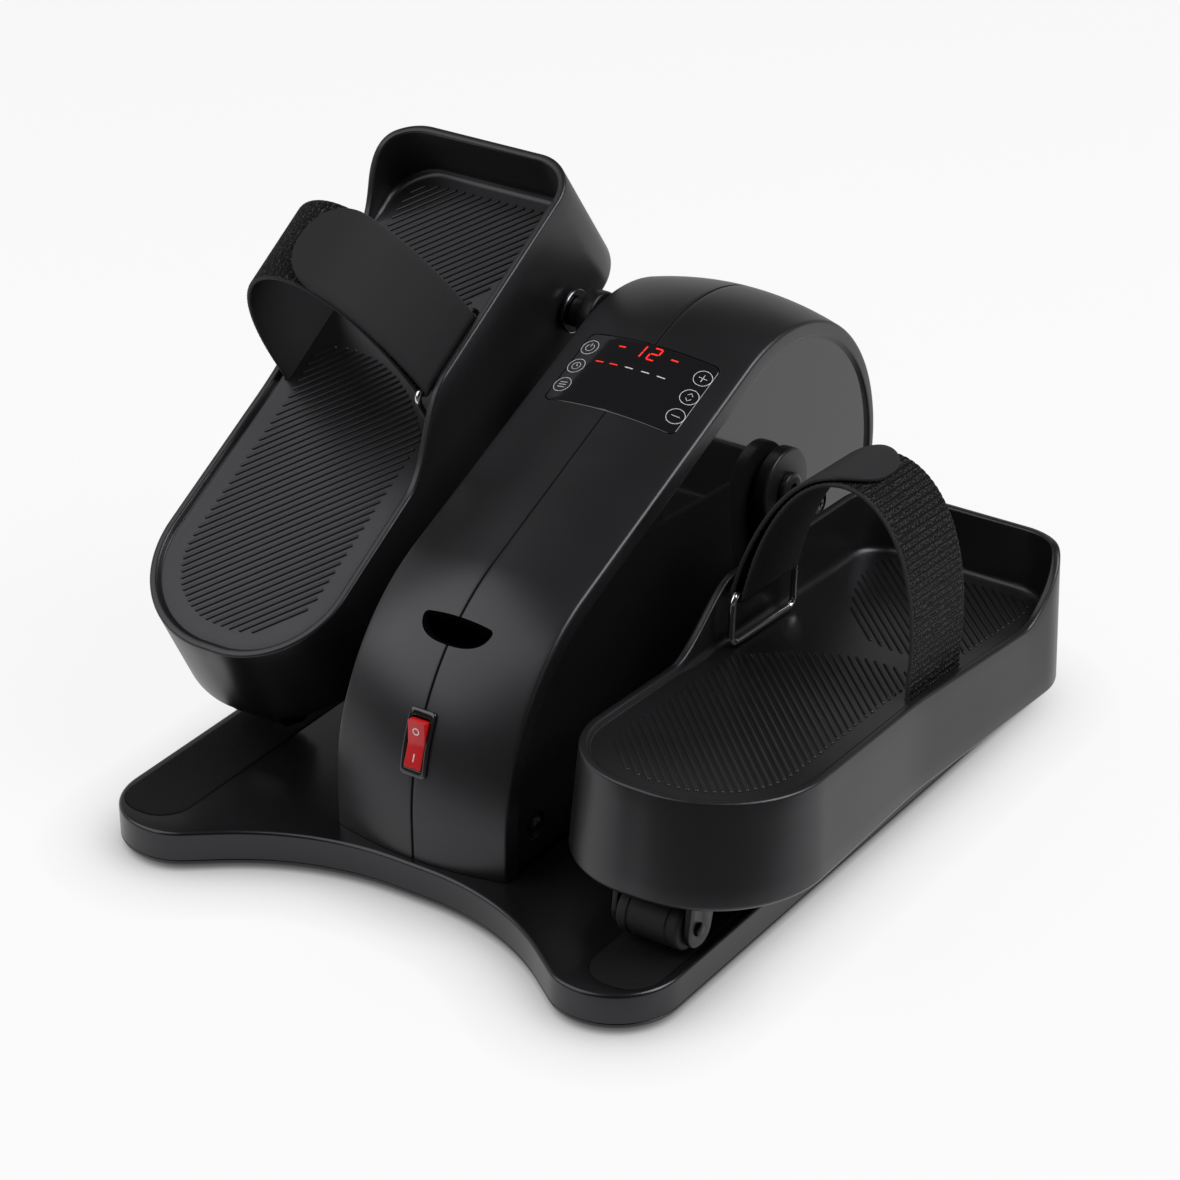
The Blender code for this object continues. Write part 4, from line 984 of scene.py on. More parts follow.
def build_screws():
    """Pan heads with a cross recess: a domed turned profile, less two crossed bars."""
    floor = SIDE_FACE_X - WELL_DEPTH + GAP
    turn = np.linspace(0, SCREW_BEND, 7)
    rise = np.sin(turn) / math.sin(SCREW_BEND)
    closing = (1 - np.cos(turn)) / (1 - math.cos(SCREW_BEND))
    dome = zip(floor + SCREW_HEIGHT / 2 * (1 + rise), SCREW_RADIUS * (1 - SCREW_FLAT * closing))
    head = [(floor, SCREW_RADIUS), *dome]
    for end, spot in SIDE_SCREWS.items():
        place = shifted(0, *spot)
        bars = []
        for long, short in SCREW_CROSS:
            bar = rounded_box(long, short, CROSS_CORNER, steps=3)
            bars.append(loft([across(bar, floor + SCREW_HEIGHT * share) for share in SCREW_CUT], place=place))
        skin = turned(head, place=place)
        add_piece(f"side_screw_{end}", skin, "base", black_steel(), [f"housing_screw_{end}"], bars)


# Panel and its marks

SEGMENT_WIDTH = 0.0008
DIGIT_WIDTH = 0.0048
DIGIT_HEIGHT = 0.0080
DIGIT_SHEAR = 0.12
DIGITS = (("g", -0.0185), ("bc", -0.0085), ("abged", 0.0005), ("g", 0.0122))
DIGIT_DISTANCE = 0.0060
SEGMENTS = {
    "a": ((0, 1), (1, 1)),
    "b": ((1, 1), (1, 0.5)),
    "c": ((1, 0.5), (1, 0)),
    "d": ((0, 0), (1, 0)),
    "e": ((0, 0.5), (0, 0)),
    "f": ((0, 1), (0, 0.5)),
    "g": ((0, 0.5), (1, 0.5)),
}
KEY_X = 0.0332
KEY_DISTANCES = (0.0100, 0.0233, 0.0367)
KEY_RADIUS = 0.0047
TICK_DISTANCE = 0.0182
TICK_X = (-0.0220, -0.0136, -0.0043, 0.0052, 0.0143)
TICK_LENGTH = 0.0046
PANEL_EDGE = 0.0005
MARK_WIDTH = 0.0003
MARK_LIFT = (0.00002, 0.00010)  # lower and upper side of a printed line over the panel


def ribbon(line, width, height, place, closed=False):
    """A thin closed strip along a line of (x, along): offsets to both sides, at two heights over a surface."""
    line = np.asarray(line, float)
    if len(line) == 2:
        line = line[0] + (line[1] - line[0]) * np.linspace(0, 1, 9)[:, None]
    ahead = np.roll(line, -1, axis=0) - np.roll(line, 1, axis=0) if closed else np.gradient(line, axis=0)
    normal = np.column_stack([-ahead[:, 1], ahead[:, 0]])
    normal *= width / 2 / np.linalg.norm(normal, axis=1, keepdims=True)
    low, high = MARK_LIFT
    corners = [(line - normal, low), (line + normal, low), (line + normal, high), (line - normal, high)]
    rings = np.stack([level(side, height(side) + lift) for side, lift in corners], axis=1)
    return loft(rings, closed, place)


def icons():
    """Plain signs for the six keys: lines of (x, along) within a circle of radius 1, and if each is closed."""
    bar = [(-0.5, 0), (0.5, 0)]
    post = [(0, -0.5), (0, 0.5)]
    hands = [(0, 0.32), (0, 0), (0.24, 0)]
    up = [(-0.32, 0.20), (0, 0.52), (0.32, 0.20)]
    down = [(x, -y) for x, y in up]
    power = arc((0, 0), 0.5, math.radians(125), math.radians(415), 24)
    lines = [[(-0.45, y), (0.45, y)] for y in (-0.34, 0.0, 0.34)]
    dial = circle((0, 0), 0.5, 32)
    return {
        (-1, 0): [(power, False), ([(0, 0.1), (0, 0.62)], False)],
        (-1, 1): [(dial, True), (hands, False)],
        (-1, 2): [(line, False) for line in lines],
        (1, 0): [(bar, False), (post, False)],
        (1, 1): [(up, False), (down, False)],
        (1, 2): [(bar, False)],
    }


def panel_height(outline):
    return crown(outline[:, 0])


def build_panel():
    """Panel: rounded rectangles that shrink to the middle, bent to the crown, over the same ones below."""
    place = panel_place()
    outline = evenly(rounded_box(PANEL_WIDTH / 2 - GAP, PANEL_LENGTH / 2 - GAP, PANEL_CORNER, steps=30), 420)
    edge = PANEL_EDGE
    rows = [(outline * s, -PANEL_THICKNESS) for s in (0.03, 0.4, 0.7)]
    rows.append((grown(outline, -edge), -PANEL_THICKNESS))
    rows.append((outline, edge - PANEL_THICKNESS))
    rows += [(grown(outline, -edge * back), -edge * down) for back, down in quarter(5)]
    rows += [(grown(outline, -edge) * s, 0.0) for s in (0.9, 0.75, 0.6, 0.45, 0.3, 0.15, 0.03)]
    skin = loft([level(line, panel_height(line) + drop) for line, drop in rows], place=place)
    add_piece("touch_panel", skin, "base", panel_gloss(), ["control_panel"])

    top = PANEL_LENGTH / 2
    prints, lights = [], []
    for (column, row), strokes in icons().items():
        spot = np.array([column * KEY_X, top - KEY_DISTANCES[row]])
        prints.append(ribbon(circle(spot, KEY_RADIUS, 64), MARK_WIDTH, panel_height, place, True))
        for line, whole in strokes:
            line = spot + KEY_RADIUS * np.array(line)
            prints.append(ribbon(line, MARK_WIDTH, panel_height, place, whole))
    for i, x in enumerate(TICK_X):
        tick = [(x - TICK_LENGTH / 2, top - TICK_DISTANCE), (x + TICK_LENGTH / 2, top - TICK_DISTANCE)]
        kept = lights if i < 2 else prints
        kept.append(ribbon(tick, 2 * MARK_WIDTH, panel_height, place))
    low = top - DIGIT_DISTANCE - DIGIT_HEIGHT / 2
    for names, x in DIGITS:
        for name in names:
            line = np.array(SEGMENTS[name], float)
            line += (line[::-1] - line) * np.array([0.10, 0.06])
            line[:, 0] = x + line[:, 0] * DIGIT_WIDTH + DIGIT_SHEAR * DIGIT_HEIGHT * line[:, 1]
            line[:, 1] = low + DIGIT_HEIGHT * line[:, 1]
            lights.append(ribbon(line, SEGMENT_WIDTH, panel_height, place))
    add_piece("panel_print", joined(prints), "base", white_print())
    add_piece("panel_lights", joined(lights), "base", lit_red())


CUP_FLOOR_ROUND = 0.004
INLET_EDGE = 0.0006
FLANGE_CORNER = 0.0022
MOUTH_CORNER = 0.0008
SIGN_WIDTH = 0.0006
SIGN_RADIUS = 0.0016


def build_recess():
    """Hand recess: half-moons carried up the outside of the cup, over its lip and down to a rounded floor."""
    place = front_place(CUP_ANGLE)
    floor = GAP + CUP_WALL - CUP_DEPTH
    rings = [level(cup_outline(-GAP), GAP - CUP_DEPTH)]
    for inward, drop in CUP_LIP:
        line = cup_outline(-GAP - inward)
        rings.append(level(line, front_height(line) - drop))
    for back, down in quarter(6):
        inner = cup_outline(-GAP - CUP_WALL - CUP_FLOOR_ROUND * back)
        rings.append(level(inner, floor + CUP_FLOOR_ROUND * down))
    add_piece("grip_recess", loft(rings, place=place), "base", recess_black(), ["hand_recess"], sharp=50)


def build_inlet():
    """Power socket: rounded rectangles carried up the outside, over the edge and down into the mouth."""
    place = inlet_place()
    face = CROWN + GAP
    block = rounded_box(INLET_WIDTH / 2 - GAP, INLET_HEIGHT / 2 - GAP, INLET_CORNER)
    mouth = rounded_box(INLET_WIDTH / 2 - INLET_WALL, INLET_HEIGHT / 2 - INLET_WALL, INLET_CORNER)
    edge = INLET_EDGE
    steps = [(block, -INLET_DEPTH), (block, face - edge), (grown(block, -edge), face)]
    steps += [(grown(mouth, edge), face), (mouth, face - edge), (mouth, INLET_WALL - INLET_DEPTH)]
    skin = loft([level(line, z) for line, z in steps], place=place)
    add_piece("power_socket", skin, "base", plastic(), ["power_inlet"])


def build_switch():
    """Switch frame: rounded rectangles up the body, out to a flange that follows the fairing, over its edge
    and down into the pocket. Rocker: a shallow V, carried across."""
    place = front_place(SWITCH_ANGLE)
    seat = CROWN + GAP
    top = seat + SWITCH_FLANGE
    half = np.array([SWITCH_WIDTH / 2, SWITCH_LENGTH / 2])
    opening = half - np.array([SWITCH_RIM, SWITCH_END_RIM])
    body = evenly(rounded_box(*(half - SWITCH_RIM / 2 - GAP), SLOT_CORNER), 160)
    flange = evenly(rounded_box(*half, FLANGE_CORNER), 160)
    mouth = evenly(rounded_box(*opening, MOUTH_CORNER), 160)
    edge = SWITCH_FLANGE / 2

    def over(outline, height):
        return level(outline, front_height(outline) + GAP + height)

    rings = [level(body, seat - SWITCH_BODY), over(body, 0.0), over(flange, 0.0)]
    rings += [over(grown(flange, -edge * back), SWITCH_FLANGE - edge * down) for back, down in quarter(6)]
    rings += [over(grown(mouth, edge * down), SWITCH_FLANGE - edge * back) for back, down in quarter(4)]
    rings.append(level(mouth, top - SWITCH_POCKET))
    add_piece("switch_frame", loft(rings, place=place), "base", panel_gloss(), ["switch_bezel"])

    pivot = place([(0, 0, top - BUTTON_PIVOT_DEPTH)])[0]
    spin = about_x(SWITCH_ANGLE - math.pi / 2 + BUTTON_TILT)

    def button_place(points):
        return points @ spin.T + pivot

    reach, width = opening[1] - BUTTON_SLACK, opening[0] - GAP

    def dish(outline):
        return BUTTON_RISE - BUTTON_DISH * (1 - np.sqrt((outline[:, 1] / reach) ** 2 + VALLEY**2))

    along = np.column_stack([np.zeros(41), np.linspace(-reach, reach, 41)])
    keel = [(reach, 0.0), (reach / 2, -BUTTON_KEEL), (-reach / 2, -BUTTON_KEEL), (-reach, 0.0)]
    side = np.vstack([np.column_stack([along[:, 1], dish(along)]), keel])
    skin = loft([across(side, x) for x in (-width, width)], place=button_place)
    add_piece("rocker_button", skin, "rocker", rocker_red(), ["switch_rocker"], bevel=0.0004)
    ring = circle((0, 0.55 * reach), SIGN_RADIUS, 40)
    stroke = [(0, -0.72 * reach), (0, -0.40 * reach)]
    lines = ((ring, True), (stroke, False))
    signs = [ribbon(line, SIGN_WIDTH, dish, button_place, closed) for line, closed in lines]
    add_piece("rocker_signs", joined(signs), "rocker", switch_print())


# Cranks

ARM_EDGE = 0.0016
BOLT_FOOT = 0.0003
BOLT_SIDE = 0.0023  # height of a bolt's side under its dome
BOLT_DOME = (0.0012, 0.0024)  # the dome's rise, and how far it closes in
BOLT_SOCKET = 0.0042
SOCKET_CUT = (0.0015, 0.006)
COLLAR_EDGE = 0.0005
PIN_TIP = 0.001
WASHER_EDGE = 0.0004
NUT_CUT = (-0.002, 0.01)


def hexagon(radius):
    return arc((0, 0), radius, 0, 2 * math.pi, 7)[:-1]


def build_cranks():
    """Crank arms: their outline carried through the thickness with rounded edges. The rest is turned."""
    for side, sign in SIDES.items():
        pin_place = shifted(0, AXLE_Y, PIN_Z[side])
        outline = arm_outline(PIN_Z[side] - AXLE_Z)
        steps = [(CRANK_X + ARM_EDGE * down, -ARM_EDGE * back) for back, down in quarter(6)[::-1]]
        steps += [(CRANK_OUTER_X - ARM_EDGE * down, -ARM_EDGE * back) for back, down in quarter(6)]
        skin = loft([across(grown(outline, by), sign * x) for x, by in steps], place=crank_place)
        bores = []
        for spot, radius in ((AXLE_Z, AXLE_RADIUS), (PIN_Z[side], PIN_RADIUS)):
            bore = [(sign * x, radius + GAP) for x in (CRANK_X - CUT_PAST, CRANK_OUTER_X + CUT_PAST)]
            bores.append(turned(bore, place=shifted(0, AXLE_Y, spot)))
        add_piece(f"arm_{side}", skin, "crank", black_steel(), [f"crank_arm_{side}"], bores)

        start = CRANK_OUTER_X + GAP
        rise, closing = BOLT_DOME
        head = [(0, -BOLT_FOOT), (BOLT_FOOT, 0)]
        head += [(BOLT_SIDE + rise * (1 - down), -closing * back) for back, down in quarter(6)]
        head = [(sign * (start + x), BOLT_RADIUS + by) for x, by in head]
        socket = [across(hexagon(BOLT_SOCKET), sign * (start + x)) for x in SOCKET_CUT]
        skin, cuts = turned(head, place=crank_place), [loft(socket, place=crank_place)]
        add_piece(f"arm_bolt_{side}", skin, "crank", black_steel(), [f"crank_bolt_{side}"], cuts)

        seat, narrow = WASHER_X - GAP, COLLAR_RADIUS - COLLAR_EDGE
        end = NUT_X + NUT_LENGTH + PIN_TIP
        rod = [(CRANK_X, PIN_RADIUS), (start, PIN_RADIUS), (start, narrow)]
        rod += [(start + COLLAR_EDGE, COLLAR_RADIUS), (seat - COLLAR_EDGE, COLLAR_RADIUS)]
        rod += [(seat, narrow), (seat, PIN_RADIUS)]
        rod += [(end - PIN_TIP, PIN_RADIUS), (end, PIN_RADIUS - PIN_TIP)]
        skin = turned([(sign * x, r) for x, r in rod], place=pin_place)
        add_piece(f"pedal_pin_{side}", skin, "crank", black_steel(), [f"crank_pin_{side}"])

        ring = [(0, -WASHER_EDGE), (WASHER_EDGE, 0)]
        ring += [(WASHER_THICKNESS - x, by) for x, by in ring[::-1]]
        ring = [(sign * (WASHER_X + x), WASHER_RADIUS + by) for x, by in ring]
        skin = turned(ring, PIN_RADIUS + GAP, pin_place)
        add_piece(f"washer_{side}", skin, "crank", washer_steel(), [f"pin_washer_{side}"])

        ends = (NUT_X, NUT_X + NUT_LENGTH)
        skin = loft([across(hexagon(NUT_RADIUS), sign * x) for x in ends], place=pin_place)
        hole = turned([(sign * (NUT_X + x), PIN_RADIUS + GAP) for x in NUT_CUT], place=pin_place)
        add_piece(f"nut_{side}", skin, "crank", zinc_steel(), [f"pin_nut_{side}"], [hole], bevel=0.0004)


# Foot plates

SPINE_INSET = 0.06  # the middle line ends this far from heel and toe
SKIRT_STEP = 0.001  # rise of the skirt's inner edge
SKIRT_FLAT = 0.0006
RIM_SLOPE = 0.0006  # how far the inside of the wall leans in
BED_FILLET = (0.0008, 0.0040)  # least and most
BED_FILLET_SHARE = 0.6  # of the rim's height
RIB_ASIDE = (-0.14, 0.20)  # the lines of ribs cover this much across their run
RIB_ALONG = (-0.10, 0.32)  # and this much along it
RIB_STEP = 0.0005
RIB_LIFT = 0.00002
HEEL_MARGIN, TOE_MARGIN = 0.0155, 0.0135  # from the fields of ribs to the outline
HEEL_BOW = (-0.068, 9.2, 0.155)  # the heel field's front: y at its middle, bend and x of the middle
TOE_BOW = (-0.053, 240, 0.160)  # the same for the toe field's rear
TOE_FIELD_X = 0.094
SLEEVE_EDGE = 0.0004
SLEEVE_PAST = 0.003


def pedal_outline():
    """Foot plate outline as (x, y), seen from above, for the right foot."""
    corners = [
        (PEDAL_INNER + PEDAL_HEEL_NARROWING, PEDAL_HEEL_Y, HEEL_INNER_RADIUS),
        (PEDAL_OUTER, PEDAL_HEEL_Y, HEEL_OUTER_RADIUS),
        (PEDAL_OUTER - PEDAL_WAIST, PEDAL_WAIST_Y, WAIST_RADIUS),
        (PEDAL_OUTER, PEDAL_TOE_Y, TOE_OUTER_RADIUS),
        (PEDAL_INNER, PEDAL_TOE_Y, TOE_INNER_RADIUS),
    ]
    return evenly(rounded(corners, 60), OUTLINE_POINTS)


def rim_height(outline):
    """Height of the rim: raised along the instep and round the toe, with an easy curve at both ends."""
    x, y = outline.T
    instep = smooth_step((y - WALL_START_Y) / WALL_RISE)
    outer = smooth_step((y - WALL_OUTER_Y) / WALL_OUTER_RISE)
    return RIM_Z + WALL_HEIGHT * np.where(x < PEDAL_INNER + PEDAL_WIDTH / 2, instep, outer)


def skirt_bottom(outline):
    share = (PEDAL_TOE_Y - outline[:, 1]) / (PEDAL_TOE_Y - PEDAL_HEEL_Y)
    return RIM_Z - SKIRT_TOE_DEPTH - (SKIRT_HEEL_DEPTH - SKIRT_TOE_DEPTH) * share


def to_spine(outline, share):
    """The outline drawn in by a share of the way to a line down the middle of the foot plate."""
    middle = PEDAL_INNER + PEDAL_WIDTH / 2
    along = np.clip(outline[:, 1], PEDAL_HEEL_Y + SPINE_INSET, PEDAL_TOE_Y - SPINE_INSET)
    spine = np.column_stack([np.full(len(outline), middle), along])
    return outline + (spine - outline) * share


def plate_skin():
    """Foot plate: rings from the middle of the underside out and down the inside of the skirt, round its
    edge, up the outside, over the rim, down to the footbed in a fillet, and in to the middle."""
    outline = pedal_outline()
    bottom, rim, edge = skirt_bottom(outline), rim_height(outline), SKIRT_EDGE
    flared = grown(outline, SKIRT_FLARE)
    ceiling = grown(outline, -SKIRT_WALL - RIM_WIDTH / 3)
    rings = [level(to_spine(ceiling, s), FOOTBED_UNDER) for s in (0.9, 0.4, 0.0)]
    rings.append(level(grown(flared, -SKIRT_WALL), bottom + SKIRT_STEP))
    rings.append(level(grown(flared, -edge - SKIRT_FLAT), bottom))
    rings += [level(grown(flared, -edge * down), bottom + edge * back) for back, down in quarter(7)]
    soft = RIM_WIDTH / 3
    low = bottom + edge
    for share in np.linspace(0, 1, 7)[1:]:
        rings.append(level(grown(outline, SKIRT_FLARE * (1 - share)), low + (rim - soft - low) * share))
    rings += [level(grown(outline, -soft * back), rim - soft * down) for back, down in quarter(5)[1:]]
    rings += [level(grown(outline, soft * down - RIM_WIDTH), rim - soft * back) for back, down in quarter(5)]
    fillet = np.clip((rim - soft - FOOTBED_Z) * BED_FILLET_SHARE, *BED_FILLET)
    wall = -RIM_WIDTH - RIM_SLOPE
    for back, down in quarter(8):
        rings.append(level(grown(outline, wall - fillet * back), FOOTBED_Z + fillet * down))
    bed = grown(outline, wall - fillet)
    rings += [level(to_spine(bed, s), FOOTBED_Z) for s in (0.08, 0.3, 0.6, 0.95)]
    return loft(rings)


def rib_skin(outline):
    """Ribs on the footbed: lines at 45 degrees a pitch apart, cut where they leave the heel and toe fields,
    each a low half-round bar with rounded ends."""
    pitch, width, height = look().rib_pitch, look().rib_width, look().rib_height
    aside = np.arange(*RIB_ASIDE, pitch)[:, None]
    along = np.arange(*RIB_ALONG, RIB_STEP)
    x, y = (aside + along) / math.sqrt(2), (aside - along) / math.sqrt(2)
    peak, bend, middle = HEEL_BOW
    heel = inside(grown(outline, -HEEL_MARGIN), x, y) & (y < peak - bend * (x - middle) ** 2)
    peak, bend, middle = TOE_BOW
    toe = inside(grown(outline, -TOE_MARGIN), x, y) & (y > peak + bend * np.abs(x - middle) ** 3)
    toe &= x > TOE_FIELD_X
    turn = np.linspace(0.15, math.pi / 2, 5)
    taper = np.concatenate([np.sin(turn), np.sin(turn)[::-1]])
    pull = np.concatenate([1 - np.cos(turn), (1 - np.cos(turn))[::-1]]) * width / 2
    bend = np.linspace(0, math.pi, 7)
    skins = []
    for field in (heel, toe):
        first = along[field.argmax(axis=1)]
        last = along[::-1][field[:, ::-1].argmax(axis=1)]
        kept = field.any(axis=1) & (last - first > 3 * width)
        first, last, side = first[kept, None], last[kept, None], aside[kept]
        half = len(turn)
        run = np.hstack([first + pull[:half], last - pull[half:]])[:, :, None]
        off = side[:, :, None] + taper[:, None] * width / 2 * np.cos(bend)
        lift = np.broadcast_to(FOOTBED_Z + RIB_LIFT + taper[:, None] * height * np.sin(bend), off.shape)
        bars = np.stack([(off + run) / math.sqrt(2), (off - run) / math.sqrt(2), lift], axis=-1)
        skins += [loft(bar) for bar in bars]
    return joined(skins)


def placed(skin, place):
    points, quads, caps = skin
    return place(points), quads, caps


def build_foot_plates():
    """Foot plates, each less the strap's slot and the bore for its bush, with their ribs and the bushes."""
    outline = pedal_outline()
    plate, ribs = plate_skin(), rib_skin(outline[::4])
    slot = rounded_box(STRAP_THICKNESS / 2 + GAP, STRAP_WIDTH / 2 + GAP, 0.001, (STRAP_FOOT_X, STRAP_Y), 5)
    for side in SIDES:
        place, body = pedal_place(side), f"pedal_{side}"
        cuts = [loft([level(slot, FOOTBED_UNDER - SKIRT_WALL), level(slot, RIM_Z)], place=place)]
        reach = [(x, BUSH_RADIUS + GAP) for x in (PEDAL_INNER - CUT_PAST, PEDAL_INNER + CUT_PAST)]
        cuts.append(turned(reach, place=place))
        add_piece(f"plate_{side}", placed(plate, place), body, plastic(), [f"foot_plate_{side}"], cuts)
        add_piece(f"plate_ribs_{side}", placed(ribs, place), body, plastic())
        start, end = PEDAL_INNER - SKIRT_FLARE, PEDAL_INNER + SKIRT_WALL + SLEEVE_PAST
        sleeve = [(start, BUSH_RADIUS - SLEEVE_EDGE), (start + SLEEVE_EDGE, BUSH_RADIUS), (end, BUSH_RADIUS)]
        skin = turned(sleeve, PIN_RADIUS + GAP, place)
        add_piece(f"bush_{side}", skin, body, rubber(), [f"pin_bush_{side}"])


# Heel rollers

CHEEK_ROUND = 0.0093
FORK_HALF_LENGTH = 0.056
FORK_WEB = 0.003  # thickness of the fork's top
FORK_PAST = 0.02
FORK_BORE = 0.034
ROD_PAST = 0.002
ROD_EDGE = 0.0006
ROD_TIP = 0.0022
WHEEL_EDGE = 0.002
WHEEL_GROOVE = ((0.0075, 0), (0.0070, 0.0006), (0.0060, 0.0006), (0.0055, 0))  # (from the end, deep)


def mirrored(half):
    """A profile of (x, radius) about the roller's middle, from its right half."""
    return [(ROLLER_X + x, r) for x, r in [(-x, r) for x, r in half[::-1]] + half]


def build_rollers():
    """Rollers turned with a groove at each end, in a fork whose cheeks taper down to the axle."""
    half = ROLLER_WIDTH / 2
    for side in SIDES:
        place, body = pedal_place(side), f"pedal_{side}"

        def at_axle(points):
            return place(points + np.array([0, ROLLER_Y, ROLLER_Z]))

        top = FOOTBED_UNDER - GAP
        low = ROLLER_Z - BRACKET_EYE
        corners = [(ROLLER_Y + eye, low, CHEEK_ROUND) for eye in (-BRACKET_EYE, BRACKET_EYE)]
        corners += [(BRACKET_TOP[1], top, 0.001), (BRACKET_TOP[0], top, 0.001)]
        cheek = rounded(corners, 12)
        skin = loft([across(cheek, ROLLER_X + x) for x in (-BRACKET_OUTER, BRACKET_OUTER)], place=place)
        high, under = top - FORK_WEB, low - FORK_PAST
        spot = (sum(BRACKET_TOP) / 2, (high + under) / 2)
        fork = rounded_box(FORK_HALF_LENGTH, (high - under) / 2, 0.001, spot, 4)
        room = loft([across(fork, ROLLER_X + x) for x in (-BRACKET_INNER, BRACKET_INNER)], place=place)
        bore = [(ROLLER_X + x, ROLLER_AXLE_RADIUS + GAP) for x in (-FORK_BORE, FORK_BORE)]
        cuts = [room, turned(bore, place=at_axle)]
        add_piece(f"fork_{side}", skin, body, black_steel(), [f"roller_bracket_{side}"], cuts, bevel=0.0005)
        end = BRACKET_OUTER + ROD_PAST
        rod = mirrored([(end - ROD_EDGE, ROLLER_AXLE_RADIUS), (end, ROD_TIP)])
        skin = turned(rod, place=at_axle)
        add_piece(f"roller_rod_{side}", skin, body, black_steel(), [f"roller_axle_{side}"])
        profile = [(half - inset, ROLLER_RADIUS - deep) for inset, deep in WHEEL_GROOVE]
        edge = WHEEL_EDGE * quarter(5)
        profile += [(half - down, ROLLER_RADIUS - back) for back, down in edge]
        profile = mirrored(profile)
        skin = turned(profile, ROLLER_AXLE_RADIUS + GAP, at_axle)
        add_piece(f"roller_wheel_{side}", skin, f"roller_{side}", rubber(), [f"heel_roller_{side}"])


# Straps

UPPER_POINTS, EDGE_POINTS, LOWER_POINTS = 25, 5, 13  # round the band's section
ROW_STEPS = 6  # rings to a row of the weave
ROW_SHARPNESS = 6
ROW_WAVE = (0.3, 5)  # the rows' sway across the band, in radians, and its length in pitches
SKIPPED = 6  # points of the tongue left out beside the fold


def strap_line(tongue_end):
    """Middle line of the band as (x, z): up from its slot, in a cubic arch, half round the loop and back."""
    clear = LOOP_WIRE + GAP + STRAP_THICKNESS / 2
    start, foot = (STRAP_FOOT_X, FOOTBED_Z - STRAP_TAIL), (STRAP_FOOT_X, FOOTBED_Z + STRAP_UPRIGHT)
    end = (LOOP_X + clear, LOOP_TOP_Z + GAP)
    pull = (8 * STRAP_TOP_Z - foot[1] - end[1]) / 6
    steps = 160
    share = np.linspace(0, 1, steps)[:, None]
    knots = [foot, (STRAP_FOOT_X + STRAP_BULGE, pull - STRAP_LEAN)]
    knots += [(LOOP_X + STRAP_SHOULDER, pull + STRAP_LEAN), end]
    weights = ((1 - share) ** 3, 3 * share * (1 - share) ** 2, 3 * share**2 * (1 - share), share**3)
    arch = sum(weight * np.array(knot) for weight, knot in zip(weights, knots))
    fold = arc((LOOP_X, LOOP_TOP_Z), clear, 0, -math.pi, 30)
    opening = np.clip((share - STRAP_MERGE) / (1 - STRAP_MERGE), 0, 1) ** 2
    tongue = (arch + right_of(arch) * (STRAP_LAYER_STEP + (2 * clear - STRAP_LAYER_STEP) * opening))[::-1]
    tongue = tongue[SKIPPED : int(steps * (1 - tongue_end))]
    return np.vstack([[start], arch, fold[1:], tongue])


def strap_skin(tongue_end):
    """Band: a flat section with round edges carried along the line. Rows of the weave wave its outer side in
    and out, and its width closes in a circle at the tongue's end. Returns the skin and each point's distances
    along and across."""
    line = strap_line(tongue_end)
    run = run_along(line)
    pitch = look().weave_pitch
    at = np.linspace(0, run[-1], int(run[-1] / pitch * ROW_STEPS))
    middle = np.column_stack([np.interp(at, run, line[:, i]) for i in range(2)])
    outward = right_of(middle)
    thick = STRAP_THICKNESS / 2
    turn = np.linspace(math.pi / 2, -math.pi / 2, EDGE_POINTS + 2)[1:-1]
    over, end, under = np.ones(UPPER_POINTS), np.ones(EDGE_POINTS), np.ones(LOWER_POINTS)
    flat = np.concatenate([np.linspace(-1, 1, UPPER_POINTS), end, np.linspace(1, -1, LOWER_POINTS), -end])
    rim = np.concatenate([0 * over, np.cos(turn), 0 * under, -np.cos(turn)])
    out = np.concatenate([over, np.sin(turn), -under, -np.sin(turn)])
    corner = TONGUE_ROUND
    left = np.clip(1 - (run[-1] - at) / corner, 0, 1)
    half = STRAP_WIDTH / 2 - thick - corner * (1 - np.sqrt(1 - left**2))
    side = half[:, None] * flat + thick * rim
    phase = 2 * math.pi * at[:, None] / pitch
    sway, wave = ROW_WAVE
    phase = phase + sway * np.sin(2 * math.pi * side / (wave * pitch))
    rows = (0.5 - 0.5 * np.cos(phase)) ** ROW_SHARPNESS
    offset = thick * out - look().weave_depth * rows * np.maximum(out, 0)
    x = middle[:, :1] + outward[:, :1] * offset
    z = middle[:, 1:] + outward[:, 1:] * offset
    rings = np.stack([x, STRAP_Y + side, z], axis=-1)
    upper = np.broadcast_to(out > 0.5, side.shape)
    spread = {"along": np.broadcast_to(at[:, None], side.shape), "across": side, "upper": upper}
    return loft(rings), spread


def build_straps():
    """Straps, and the wire loops they fold through: a circle carried round a rounded rectangle."""
    middle, half = (LOOP_TOP_Z + LOOP_BOTTOM_Z) / 2, (LOOP_TOP_Z - LOOP_BOTTOM_Z) / 2
    wire = rounded_box(LOOP_WIDTH / 2, half, LOOP_CORNER, (STRAP_Y, middle), 10)
    ring = circle((0, 0), LOOP_WIRE, 20)
    loop = loft([across(grown(wire, out), LOOP_X + aside) for out, aside in ring], True)
    for side in SIDES:
        place, body = pedal_place(side), f"pedal_{side}"
        band, spread = strap_skin(STRAP_TONGUE_END[side])
        nodes = [f"foot_strap_{side}"]
        made = add_piece(f"strap_band_{side}", placed(band, place), body, webbing(), nodes, sharp=70)
        for name, values in spread.items():
            layer = made.data.attributes.new(name, "FLOAT", "POINT")
            layer.data.foreach_set("value", np.ascontiguousarray(values, np.float32).ravel())
        add_piece(f"wire_loop_{side}", placed(loop, place), body, chrome(), [f"strap_loop_{side}"])


# Pieces inside the fairing, which keep their CAD shapes


